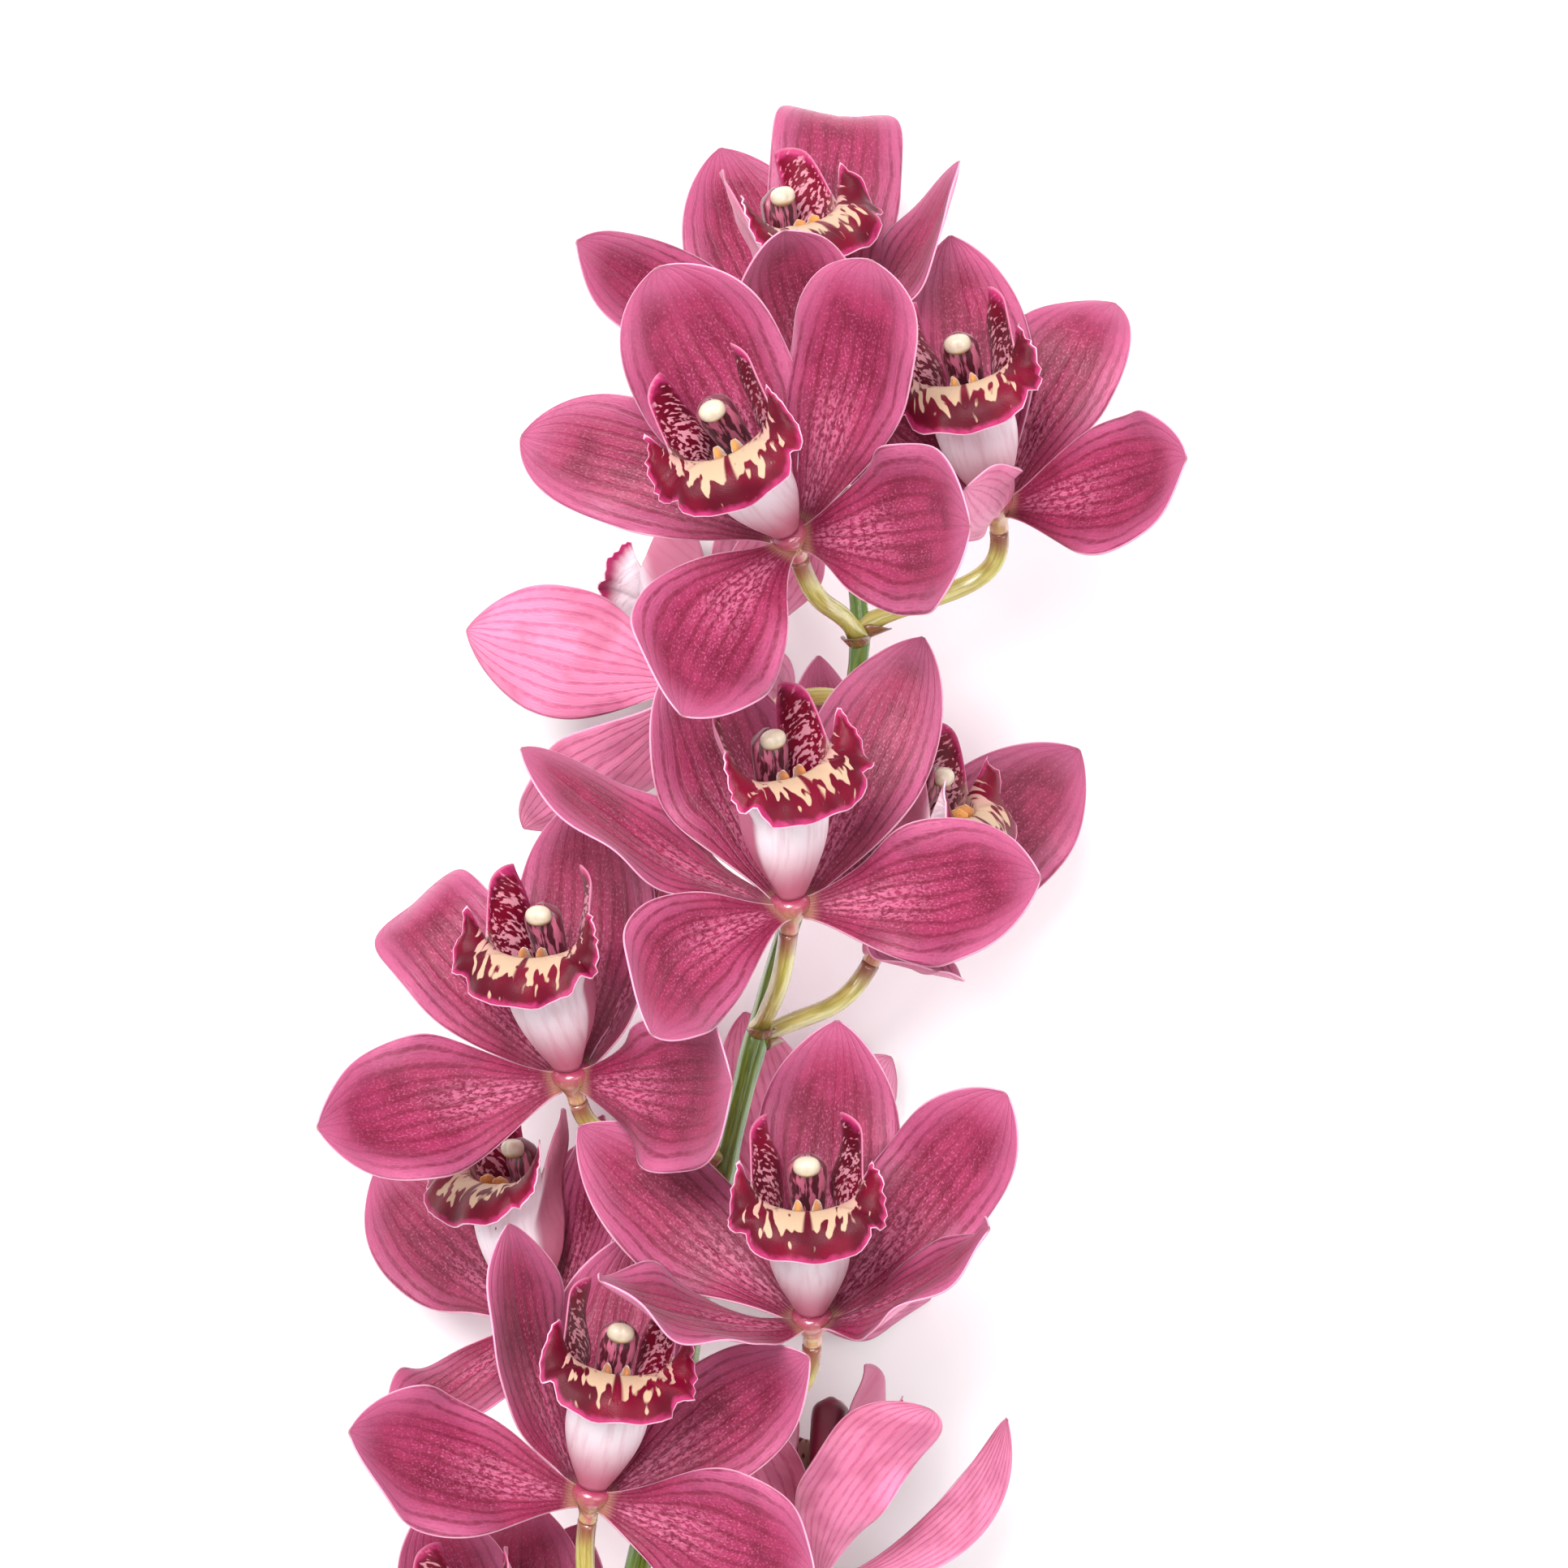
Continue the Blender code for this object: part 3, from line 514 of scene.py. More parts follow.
# Pale ridges run lengthwise, with patches of deeper colour.
def makeStemMaterial(name):
    base, deep, end, endFrom = stemLook[name]
    made, tree, shader, sheet, measure, spot = startMaterial(name)
    along = split(tree, sheet)[1]
    skin = grouped(tree, "skin", {"Vector": spot, "Cell": 2400.0})
    fibre = noise(tree, stretched(tree, measure, (1.0, 0.06, 0.0)), 2.2, 3.0)
    colour = blend(tree, step(tree, fibre, 0.35, 0.7), base, deep)
    patchy = noise(tree, measure, 0.12, 2.0)
    colour = layer(tree, colour, end, step(tree, patchy, 0.5, 0.75), 0.4)
    colour = blend(tree, step(tree, along, endFrom, 1.0), colour, end)
    height = calc(tree, "ADD", product(tree, fibre, 1.2), product(tree, skin["Height"], 0.35))
    dress(tree, shader, colour, height, skin["Patch"], 0.00018, 0.26,
          {"Subsurface Weight": 0.12, "Subsurface Scale": 0.002, "Coat Weight": 0.6, "Coat Roughness": 0.14,
           "Specular IOR Level": 0.55})
    return made


petalSkin = makePetalMaterial()
lipSkin = makeLipMaterial()
keelSkin = makeKeelMaterial()
columnSkin = makeColumnMaterial()
capSkin = makeCapMaterial()
stalkSkin, pedicelSkin, knobSkin, bractSkin = (makeStemMaterial(name) for name in stemLook)
print("materials ready")


# Every blade: sizes in millimetres, the share of its thickness that its margin keeps, the claw's share of
# its width, where along it the blade is widest, the shape of its swell, how far the handles of its curve
# reach, and its grid.
bladeSetting = {"thick": 0.7, "edgeShare": 0.45, "claw": 0.15, "rootRing": 2.6, "widest": 0.56, "swell": 1.35,
                "tipHalf": 0.35, "handle": 0.36, "groove": 0.45, "rows": 46, "columns": 27, "tipCrowd": 1.35}


# One petal or sepal: where its tip lies from the bloom's base, its width, and how it bends in degrees.
# bow and curl bend its root and tip, sway bends it in its own plane, roll turns it about its length, lean
# turns its face up from the surface, cup rounds it across, wave ripples its margins by millimetres, square
# blunts its end, and fold rolls its margins back.
def sepal(tip, wide=29.0, **shape):
    blade = {"tip": tip, "wide": wide, "bow": 16, "curl": 12, "roll": 0, "cup": 0.10, "wave": 1.6, "square": 0.0,
             "waves": 1.6, "lean": 0.45, "sway": 0, "fold": 0.0, "foldLeft": 0.0, "foldRight": 0.0}
    blade.update(shape)
    return blade


def petal(tip, wide=25.0, **shape):
    return sepal(tip, wide, **shape)


# Each bloom: its base, the way its column points, the side its lip hangs on, how high its flower stalk
# leaves the stem, and its five blades.
blooms = {
    "bloom_01": dict(
        base=(6, 82, -6), column=(-0.18, 0.93, 0.25), lipSide=(0.62, -0.12, 0.75), node=58,
        dorsal=sepal((-19, 47, -30)), left=petal((-47, 25, 20)),
        right=petal((5, 53, -30), wide=27, curl=-70, square=0.5, wave=1.0),
        leftLow=sepal((-6, 26, 38), wide=24, bow=-16, lean=1), rightLow=sepal((29, 42, 4), roll=-60)),
    "bloom_02": dict(
        base=(1.5, 48, 36), column=(-0.42, 0.66, 0.62), lipSide=(0.08, -0.66, 0.745), node=30,
        dorsal=sepal((-26, 52, 10), wide=31, square=0.25),
        left=petal((-53, 20, -8), sway=-12, square=0.25),
        right=petal((15, 53, 18), wide=27, square=0.35, foldLeft=0.25),
        leftLow=sepal((-21, -35, 34), wide=31, lean=1, sway=-18),
        rightLow=sepal((34, 1, 38), wide=33, lean=1, square=0.25, wave=2.0)),
    "bloom_03": dict(
        base=(42, 55, 6), column=(-0.22, 0.87, 0.45), lipSide=(0.0, -0.46, 0.88), node=32,
        dorsal=sepal((-9, 54, -6), wide=25), left=petal((-38, 26, 10)),
        right=petal((24, 41, -14), curl=-30, sway=14),
        leftLow=sepal((-7, 2, 44), wide=20, roll=60), rightLow=sepal((36, 8, 38))),
    "bloom_04": dict(
        base=(-16, 21, -20), column=(-0.12, 0.57, -0.81), lipSide=(-0.75, -0.62, -0.06), node=16,
        dorsal=sepal((12, 34, -26), wide=22), left=petal((21, 38, -2), wide=22),
        right=petal((16, -8, -41.2)), leftLow=sepal((-48, 10, -4), wide=27),
        rightLow=sepal((-37, -30, -22), wide=24)),
    "bloom_05": dict(
        base=(1.5, -24, 24), column=(-0.11, 0.905, 0.42), lipSide=(0.52, -0.31, 0.80), node=-50,
        dorsal=sepal((-22, 50, -8)), left=petal((-53, 31, 4), roll=35), right=petal((26, 53, -12)),
        leftLow=sepal((-27, -24, 38), wide=27, lean=1, sway=-30), rightLow=sepal((48, 6, 28), lean=0.7, wave=2.0)),
    "bloom_06": dict(
        base=(20, -31, -14), column=(0.30, 0.88, 0.32), lipSide=(0.88, -0.32, 0.28), node=-52,
        dorsal=sepal((-13, 57, -20), wide=22), left=petal((-12, 28, 6)), right=petal((-2, 42, -34)),
        leftLow=sepal((10, -6, 26), wide=22), rightLow=sepal((40, 38, -22))),
    "bloom_07": dict(
        base=(-42, -58, 10), column=(-0.16, 0.895, 0.42), lipSide=(-0.35, -0.37, 0.86), node=-74,
        dorsal=sepal((3, 56, -6)), left=petal((-32, 34, -16), curl=-60, square=1),
        right=petal((20, 48, -2), roll=-40, wave=2.2), leftLow=sepal((-49, -9, 24), lean=0.8, wave=1.8),
        rightLow=sepal((32, 0, 38), wide=31, lean=1, sway=-10, square=0.35, wave=2.4)),
    "bloom_08": dict(
        base=(-50, -108, -18), column=(-0.10, 0.96, 0.22), lipSide=(-0.72, -0.25, 0.66), node=-112,
        dorsal=sepal((11, 36, -23), wide=19, bow=30), left=petal((-14, 34, -43), wide=22),
        right=petal((14, 42, 13), wide=15, bow=38),
        leftLow=sepal((-33, 30, -30)), rightLow=sepal((-26, -18, 34), wide=22)),
    "bloom_09": dict(
        base=(5.5, -105.5, 20), column=(-0.03, 0.865, 0.50), lipSide=(0, -0.50, 0.865), node=-134,
        dorsal=sepal((5, 59, -4)), left=petal((-46, 38, -6), wave=2.0),
        right=petal((38, 45, 6), square=0.2, wave=2.4),
        leftLow=sepal((-41, 10, 36), wide=26, roll=30, lean=0, wave=2.6),
        rightLow=sepal((34, 20, 38), wide=26, roll=-30, lean=0, wave=2.6)),
    "bloom_10": dict(
        base=(-38, -140, 20), column=(0.17, 0.92, 0.37), lipSide=(0.04, -0.38, 0.925), node=-176,
        dorsal=sepal((11, 52, -16)), left=petal((-16, 54, 6), roll=40), right=petal((43, 28, 8)),
        leftLow=sepal((-46, 15, 30)), rightLow=sepal((44, -13, 32), lean=1)),
    "bloom_11": dict(
        base=(6, -160, -20), column=(0.10, 0.90, -0.35), lipSide=(0.20, -0.35, -0.92), node=-170,
        dorsal=sepal((23, 36, 22), wide=18, bow=34, sway=-38, square=0.5, wave=2.2),
        left=petal((39, 32, -6), wide=11, roll=-35, bow=-20, curl=-10, sway=42),
        right=petal((-20, 36, 0)),
        leftLow=sepal((26, -12, -38), wide=24), rightLow=sepal((-22, -4, -38), wide=24)),
    "bloom_12": dict(
        base=(-56, -192, 8), column=(-0.20, 0.90, 0.38), lipSide=(-0.45, -0.38, 0.80), node=-208,
        dorsal=sepal((4, 50, -14)), left=petal((-14, 50, 0)), right=petal((15, 44, -18), wide=22),
        leftLow=sepal((-48, 4, 20)), rightLow=sepal((-6, -34, 34))),
    "bloom_13": dict(
        base=(-20, -204, 24), column=(0.15, 0.88, 0.44), lipSide=(0.20, -0.46, 0.85), node=-222,
        dorsal=sepal((4, 55, -8)), left=petal((-14, 50, 2)), right=petal((24, 46, -6)),
        leftLow=sepal((-24, -26, 38)), rightLow=sepal((40, -4, 34))),
    "bloom_14": dict(
        base=(0, -92, -28), column=(-0.33, 0.82, -0.45), lipSide=(-0.30, -0.50, -0.80), node=-96,
        dorsal=sepal((-8, 46, 2), wide=22), left=petal((-30, 30, -4)), right=petal((22, 36, -24)),
        leftLow=sepal((-42, -8, -14), wide=24), rightLow=sepal((30, -14, -33))),
}

stemSetting = {
    "line": [(11, 60, 0), (15, 28, 0), (8, -5, 0), (-2, -38, 0), (-10, -68, 0), (-16, -96, 0), (-22, -125, 0),
             (-30, -160, 0), (-37, -200, -4), (-43, -245, -14), (-46, -290, -29), (-46, -335, -45),
             (-44, -370, -57.1)],
    "radii": (1.6, 2.0, 2.6, 3.6, 4.4), "radiiAt": (0, 0.12, 0.55, 0.75, 1.0), "jointSwell": 0.14,
    "pedicelRadius": 1.9, "pedicelRoot": 1.7, "footSwell": 0.35, "pedicelRidge": 0.07}

# The knob that carries a bloom's parts, and the gap that each of them keeps from it.
knobSetting = {"back": 5.6, "front": 2.6, "radius": 4.0}
seatGap = 0.3


# A bloom's base and its four ways: along its column, towards its lip, across both, and the way it faces.
def bloomAxes(bloom):
    reach = unit(bloom["column"])
    hint = np.asarray(bloom["lipSide"], float)
    drop = unit(hint - reach * np.dot(hint, reach))
    face = unit(0.87 * reach + 0.5 * drop)
    return np.asarray(bloom["base"], float), reach, drop, np.cross(reach, drop), face


# Half the width along a blade: a claw that swells to its widest by a quarter sine, then closes as
# (1 - x^2.2)^0.75 in a blunt point, or nearly straight across where square is 1.
def bladeHalf(t, square=0.0):
    rise = bladeSetting["claw"] + (1 - bladeSetting["claw"]) * np.sin(
        np.clip(t / bladeSetting["widest"], 0, 1) * math.pi / 2) ** bladeSetting["swell"]
    beyond = np.clip((t - bladeSetting["widest"]) / (1 - bladeSetting["widest"]), 0, 1)
    return rise * (1 - beyond ** (2.2 + 5 * square)) ** (0.75 - 0.3 * square)


# The midrib is a cubic curve. Across it the blade is lifted by cup times v squared, sinks in a groove at
# the midrib, and its margins ripple as |v|^2.5 sin(waves t) and roll back where fold is given.
def bladePart(base, blade, reach, face, seed):
    kind = bladeSetting
    tip = np.asarray(blade["tip"], float)
    root = kind["rootRing"] * unit(tip - reach * np.dot(tip, reach))
    long = np.linalg.norm(tip - root)
    chord = (tip - root) / long
    look = face * (1 - blade["lean"]) + np.array([0, 0, blade["lean"]]) if face[2] > 0 else face
    normal = turned(unit(look - chord * np.dot(look, chord)), chord, blade["roll"])
    bow, curl = math.radians(blade["bow"]), math.radians(blade["curl"])
    leave = turned(chord * math.cos(bow) - normal * math.sin(bow), normal, blade["sway"])
    land = turned(chord * math.cos(curl) + normal * math.sin(curl), normal, -blade["sway"])
    t = 1 - (1 - np.linspace(0, 1, kind["rows"])) ** kind["tipCrowd"]
    handle = long * kind["handle"]
    spot, way = cubic(root, root + leave * handle, tip - land * handle, tip, t)
    across = np.broadcast_to(np.cross(chord, normal), way.shape)
    out = np.cross(across, way)
    v = np.linspace(-1, 1, kind["columns"])[None, :]
    v = np.sign(v) * np.abs(v) ** 0.9
    rows = t[:, None]
    chance = np.random.default_rng(seed)
    a, b, c, d = chance.uniform(0, 2 * math.pi, 4)
    uneven = 1 + 0.02 * np.sin(7 * rows + a + v * 2) * np.abs(v)
    half = np.maximum(bladeHalf(rows, blade["square"]) * blade["wide"] / 2, kind["tipHalf"])
    full = np.sin(math.pi * np.clip(rows, 0, 1)) ** 0.6
    ripple = np.sin(rows * blade["waves"] * 2 * math.pi + np.where(v > 0, a, b))
    ripple = ripple + 0.35 * np.sin(rows * 17 + np.where(v > 0, c, d))
    lift = blade["cup"] * half * v ** 2 - kind["groove"] * np.exp(-(v / 0.09) ** 2) * full
    lift = lift + blade["wave"] * np.abs(v) ** 2.5 * ripple * full
    lift = lift + 0.5 * np.sin(rows * 5 + c) * np.sin(v * 2.2 + d) * full
    rolled = blade["fold"] + np.where(v < 0, blade["foldLeft"], blade["foldRight"])
    beyond = np.clip((np.abs(v) - 0.55) / 0.45, 0, 1) ** 2
    lift = lift - rolled * half * beyond * full
    wide = half * v * uneven * (1 - 0.28 * np.minimum(np.abs(rolled), 1.2) * beyond * full)
    grid = base + spot[:, None] + wide[..., None] * across[:, None] + lift[..., None] * out[:, None]
    rim = np.minimum((1 - np.abs(v)) * half, (1 - rows) * long * 0.8 + 0 * v)
    thin = smoothStep(rim, -0.3, 3.0) * (1 - kind["edgeShare"]) + kind["edgeShare"]
    thick = (kind["thick"] * thin)[..., None]
    return sheetPart(grid, thick, v, rows, rim, seed * 47.0)


def pedicelEnd(bloom):
    base, _, _, _, face = bloomAxes(bloom)
    arrive = unit(face + np.array([0, 0.7, 0]))
    return base - arrive * (knobSetting["back"] + seatGap), arrive


# The knob behind the blades swells from the flower stalk's radius by a smooth step and rounds off in front.
def knobPart(bloom, seed):
    base, reach, _, across, _ = bloomAxes(bloom)
    arrive = pedicelEnd(bloom)[1]
    back = base - arrive * knobSetting["back"]
    front = base + reach * knobSetting["front"]
    t = np.linspace(0, 1, 18)
    line = cubic(back, back + arrive * 3.0, front - reach * 2.5, front, t)[0]
    slim = stemSetting["pedicelRadius"]
    radius = slim + (knobSetting["radius"] - slim) * smoothStep(t, 0.15, 0.8)
    radius = radius * np.sqrt(np.clip(1.02 - smoothStep(t, 0.86, 1.0) * 0.55, 0.1, 1))
    return tubePart(rings(line, across[None], radius, radius, columns=20), seed * 31.0)


def makeTepals(name, bloom, number):
    base, reach, _, _, face = bloomAxes(bloom)
    keys = ("dorsal", "left", "right", "leftLow", "rightLow")
    parts = [(knobPart(bloom, number), 1)]
    parts += [(bladePart(base, bloom[key], reach, face, number * 5 + k), 0) for k, key in enumerate(keys)]
    makePiece(name, name, parts, [petalSkin, knobSkin])


# The lip: its tube, side lobes and front lobe in millimetres and degrees, as in the part, and its grid.
# rimBelow is how far the rim's middle falls back and drops, and rimCorner is how far its two corners go out,
# forwards and up.
lipSetting = {"thick": 0.7, "rootHalf": 2.4, "throatHalf": 7.8, "floorRoot": 2.7, "floorFall": 7.3, "reach": 31.3,
              "wrap": 82, "lobeHigh": 12.2, "lobeFlare": 3.1, "lobeTuck": 3.2, "lobeLean": 12.6,
              "rimTurn": 150, "rimHalf": 15.3, "rimReach": 31.5, "rimDrop": 10.5, "rimBelow": (5.6, 7.4),
              "rimCorner": (1.2, 11, 7), "notchAt": 60, "bulge": (1.6, 0.4), "ruffle": 0.9, "curlBack": 0.9,
              "keelHigh": 2.9, "keelApart": 2.5, "keelHalf": 1.25, "tubeRows": 34, "lobeRows": 26,
              "sideColumns": 16, "middleColumns": 56}


def toBloom(bloom, grid):
    base, reach, drop, across, _ = bloomAxes(bloom)
    return base + grid[..., :1] * across + grid[..., 1:2] * reach + grid[..., 2:] * drop


# The tube's floor drops by a quarter sine along the share p of its length, and lifts a little at the throat.
def tubeFloor(p):
    rise = np.sin(np.minimum(p / 0.75, 1) * math.pi / 2)
    return lipSetting["floorRoot"] + lipSetting["floorFall"] * rise - 0.8 * p ** 4


# The lip is one grid of (across, reach, drop). Its tube widens as a quarter sine, each side lobe rises from
# the tube's edge and flares, and the front lobe is blended from the throat to a round rim that ripples.
def lipPart(bloom, seed):
    kind = lipSetting
    outer = np.linspace(-1, -0.5, kind["sideColumns"] + 1)
    inner = np.linspace(-0.5, 0.5, kind["middleColumns"] + 1)
    a = np.concatenate([outer[:-1], inner, -outer[::-1][1:]])
    v = np.clip(a / 0.5, -1, 1)[None, :]
    arm = np.clip((np.abs(a) - 0.5) / 0.5, 0, 1)[None, :]
    hand = np.sign(a)[None, :]
    p = np.linspace(0, 1, kind["tubeRows"] + 1)[:, None]
    chance = np.random.default_rng(900 + seed)
    turns = chance.uniform(0, 2 * math.pi, 6)
    swell = np.sin(np.minimum(p / 0.6, 1) * math.pi / 2)
    half = kind["rootHalf"] + (kind["throatHalf"] - kind["rootHalf"]) * swell
    high = kind["lobeHigh"] * np.maximum(0.12, np.sin(math.pi * 0.5 * np.minimum(p / 0.8, 1)) ** 1.5)
    angle = np.radians(kind["wrap"]) * v
    front = smoothStep(p, 0.62, 1.0)
    splay = np.where(arm > 0, 1 - 1.15 * smoothStep(arm, 0.5, 1.0), np.abs(v) ** 3)
    tuck = kind["lobeTuck"] * arm * smoothStep(p, 0.35, 0.65) * (1 - front)
    across = half * np.sin(angle) + hand * (kind["lobeFlare"] * front * splay - tuck)
    drop = tubeFloor(p) - half * 0.8 * (1 - np.cos(angle)) - arm * high
    lean = kind["lobeLean"] * p ** 2 * np.sin(arm * math.pi * 0.62) * (arm > 0)
    start = knobSetting["front"] + seatGap
    reach = start + (kind["reach"] - start) * p + lean
    ripple = arm ** 2 * p * 0.55 * np.sin(p * 21 + arm * 5 + np.where(hand > 0, turns[0], turns[1]))
    tube = np.stack([across + hand * ripple, reach, drop + 0 * ripple], -1)
    throat = tube[-1][None]
    turn = np.radians(kind["rimTurn"]) * v[0]
    scallop = kind["ruffle"] * (np.sin(turn * 5.5 + turns[2]) * 0.6 + np.sin(turn * 10.5 + turns[3]) * 0.5)
    crinkle = 0.28 * np.sin(turn * 27 + turns[4]) + 0.16 * np.sin(turn * 41 + turns[5])
    reachOut = kind["rimHalf"] + 0.35 * scallop + crinkle
    beside, below = np.maximum(-np.cos(turn), 0), np.maximum(np.cos(turn), 0)
    sine = np.sign(turn) * np.abs(np.sin(turn)) ** (1 - 0.75 * beside)
    notch = np.exp(-((np.abs(turn) - np.radians(kind["notchAt"])) / 0.15) ** 2)
    (belowReach, belowDrop), (cornerWide, cornerReach, cornerDrop) = kind["rimBelow"], kind["rimCorner"]
    rimLine = np.stack([
        (reachOut + cornerWide * beside) * sine * (1 - 0.07 * notch),
        kind["rimReach"] - belowReach * below + cornerReach * beside + 1.8 * notch,
        kind["rimDrop"] + (belowDrop + 0.3 * scallop) * below - cornerDrop * beside - notch], -1)[None]
    u = np.linspace(0, 1, kind["lobeRows"] + 1)[1:, None, None]
    bulge = np.sin(math.pi * u) * (1 - 0.55 * v[..., None] ** 2)
    lobe = throat * (1 - u) + rimLine * u
    curlBack = smoothStep(u, 0.72, 1.0) * kind["curlBack"]
    lobe[..., 1] += (kind["bulge"][0] * bulge)[..., 0] + (scallop * u[..., 0] ** 3 * 0.9) - curlBack[..., 0]
    lobe[..., 2] += (kind["bulge"][1] * bulge)[..., 0] + (scallop * u[..., 0] ** 3 * 0.4)
    grid = np.concatenate([tube, lobe])
    cells = np.ones((len(grid) - 1, len(a) - 1), bool)
    cells[kind["tubeRows"]:, :kind["sideColumns"]] = False
    cells[kind["tubeRows"]:, -kind["sideColumns"]:] = False
    along = np.concatenate([p, 1 + u[:, :, 0]]) + 0 * a[None]
    rimEnd = (1 - p) * 26 * (arm > 0.12) + 9 * (arm <= 0.12)
    rimTube = np.where(arm > 0, np.minimum((1 - arm) * high, rimEnd), 9.0)
    rimLobe = (1 - u[:, :, 0]) * (8.0 + 6.0 * (1 - np.abs(v)))
    rimSide = (1 - np.abs(v)) * 16 + 4 * (1 - smoothStep(u[:, :, 0], 0.1, 0.4))
    rim = np.concatenate([rimTube, np.minimum(np.minimum(rimLobe, rimSide), 9.0)])
    thick = (kind["thick"] * (0.45 + 0.55 * smoothStep(rim, 0, 3)))[..., None]
    return sheetPart(toBloom(bloom, grid), thick, a[None], along, rim, seed * 53.0, cells, faceUp=0.0)


# Two ridges on the tube's floor: half ellipses across, that rise along the tube and end in a round nose.
def keelParts(bloom, seed):
    p = np.linspace(0.42, 0.99, 26)
    rise = np.sqrt(np.clip(1 - ((p - 0.86) / np.where(p > 0.86, 0.13, 0.46)) ** 2, 0.02, 1))
    parts = []
    for hand in (-1, 1):
        spread = lipSetting["keelApart"] * (1 - 0.25 * smoothStep(p, 0.5, 0.95))
        reach = knobSetting["front"] + (lipSetting["reach"] + 1.0 - knobSetting["front"]) * p
        drop = tubeFloor(p) - 0.6 - rise * lipSetting["keelHigh"] * 0.75
        line = toBloom(bloom, np.stack([hand * spread, reach, drop], -1))
        lumps = 1 + 0.10 * np.sin(p * 70 + seed)[:, None] * np.cos(around(16) * 3)
        across, high = bloomAxes(bloom)[3][None], rise * lipSetting["keelHigh"]
        grid = rings(line, across, rise * lipSetting["keelHalf"], high, lumps, 16)
        parts.append(tubePart(grid, seed * 13.0 + hand))
    return parts


# The column's length and radii, how far it arches away from the lip, the dent and hollow on its lip side and
# its wings as shares of the radius, and the cap's half sizes and where it sits from the column's end.
columnSetting = {"long": 38.0, "root": 1.7, "middle": 2.6, "top": 3.3, "rootBack": 1.2, "arch": 2.6, "endBack": 1.6,
                 "dent": 0.22, "hollow": 0.3, "wing": 0.16, "capWide": 2.7, "capLong": 1.95, "capDeep": 2.1,
                 "capInside": 1.6, "capDrop": 0.7}


def columnLine(bloom, count):
    base, reach, drop, _, _ = bloomAxes(bloom)
    long = columnSetting["long"]
    root = base + reach * (knobSetting["front"] + seatGap) - drop * columnSetting["rootBack"]
    middle = base + reach * long * 0.55 - drop * columnSetting["arch"]
    end = base + reach * long - drop * columnSetting["endBack"]
    return smoothLine([root, root + reach * 3, middle, end - reach * 6 - drop * 0.2, end], count)


# The column is a tube that swells towards its top and rounds off there in a hood behind the cap. A shallow
# dent runs along the side that faces the lip, and deepens into the hollow where the cap sits.
def columnPart(bloom, seed):
    across = bloomAxes(bloom)[3]
    line = columnLine(bloom, 44)
    s = np.linspace(0, 1, len(line))
    root, middle, top = (columnSetting[key] for key in ("root", "middle", "top"))
    radius = np.interp(s, (0, 0.1, 0.55, 0.86), (root, root, middle, top))
    radius = radius * np.sqrt(np.clip(1 - smoothStep(s, 0.9, 1.0) ** 2 * 0.96, 0.02, 1))
    turn = around(32)
    deep = columnSetting["dent"] * smoothStep(s, 0.2, 0.5) + columnSetting["hollow"] * smoothStep(s, 0.84, 0.92)
    dent = 1 - deep[:, None] * np.exp(-((turn - math.pi / 2) / 0.6) ** 2)
    wing = columnSetting["wing"] * smoothStep(s, 0.4, 0.8)[:, None]
    wings = 1 + wing * np.exp(-((np.abs(turn - math.pi / 2) - 1.2) / 0.3) ** 2)
    return tubePart(rings(line, -across[None], radius * 1.08, radius * 0.85, dent * wings, 32), seed * 17.0)


# The cap is a rounded block wider than it is long, with a groove down its middle that parts it in two lobes.
def capPart(bloom, seed):
    kind = columnSetting
    base, reach, drop, across, _ = bloomAxes(bloom)
    middle = base + reach * (kind["long"] - kind["capInside"]) + drop * kind["capDrop"]
    t = np.linspace(-0.99, 0.99, 24)
    spots = middle + reach * kind["capLong"] * t[:, None]
    profile = (1 - np.abs(t) ** 2.3) ** (1 / 2.3)
    turn = around(36)
    groove = 1 - 0.16 * np.exp(-((turn - math.pi / 2) / 0.22) ** 2) * smoothStep(t, -0.7, -0.1)[:, None]
    grid = rings(spots, -across[None], profile * kind["capWide"], profile * kind["capDeep"], groove, 36)
    return tubePart(grid, seed * 19.0)


def makeLip(name, bloom, number):
    parts = [(lipPart(bloom, number), 0)] + [(part, 1) for part in keelParts(bloom, number)]
    makePiece(name, name, parts, [lipSkin, keelSkin])


for number, (key, bloom) in enumerate(blooms.items(), 1):
    makeTepals(key + "_tepals", bloom, number)
    makeLip(key + "_lip", bloom, number)
    makePiece(key + "_column", key + "_column", [(columnPart(bloom, number), 0)], [columnSkin])
    makePiece(key + "_cap", key + "_cap", [(capPart(bloom, number), 0)], [capSkin])
print("blooms ready:", len(blooms))


def pedicelLine(bloom, count):
    end, arrive = pedicelEnd(bloom)
    line = smoothLine(stemSetting["line"], 200)
    start = line[np.argmin(np.abs(line[:, 1] - bloom["node"]))]
    away = end - start
    away[1] = 0
    leave = unit(unit(away) + np.array([0, 0.55, 0]))
    long = np.linalg.norm(end - start)
    first, second = start + leave * long * 0.45, end - arrive * long * 0.45
    return cubic(start, first, second, end, np.linspace(0, 1, count))[0]


# The stalk is a round tube with a few low ridges that turn slowly; it swells a little below each flower stalk.
def stalkPart():
    line = smoothLine(stemSetting["line"], 220)
    s = np.linspace(0, 1, len(line))
    radius = np.interp(s, stemSetting["radiiAt"], stemSetting["radii"])
    joints = np.array([bloom["node"] for bloom in blooms.values()])
    near = np.exp(-((line[:, 1][:, None] - joints + 2.0) / 3.0) ** 2).max(1)
    radius = radius * (1 + stemSetting["jointSwell"] * near)
    turn = around(32)
    ridges = 1 + 0.035 * np.cos(turn * 6 + s[:, None] * 9) + 0.015 * np.cos(turn * 13 - s[:, None] * 5)
    return tubePart(rings(line, np.array([[0, 0, 1.0]]), radius, radius, ridges, 32))


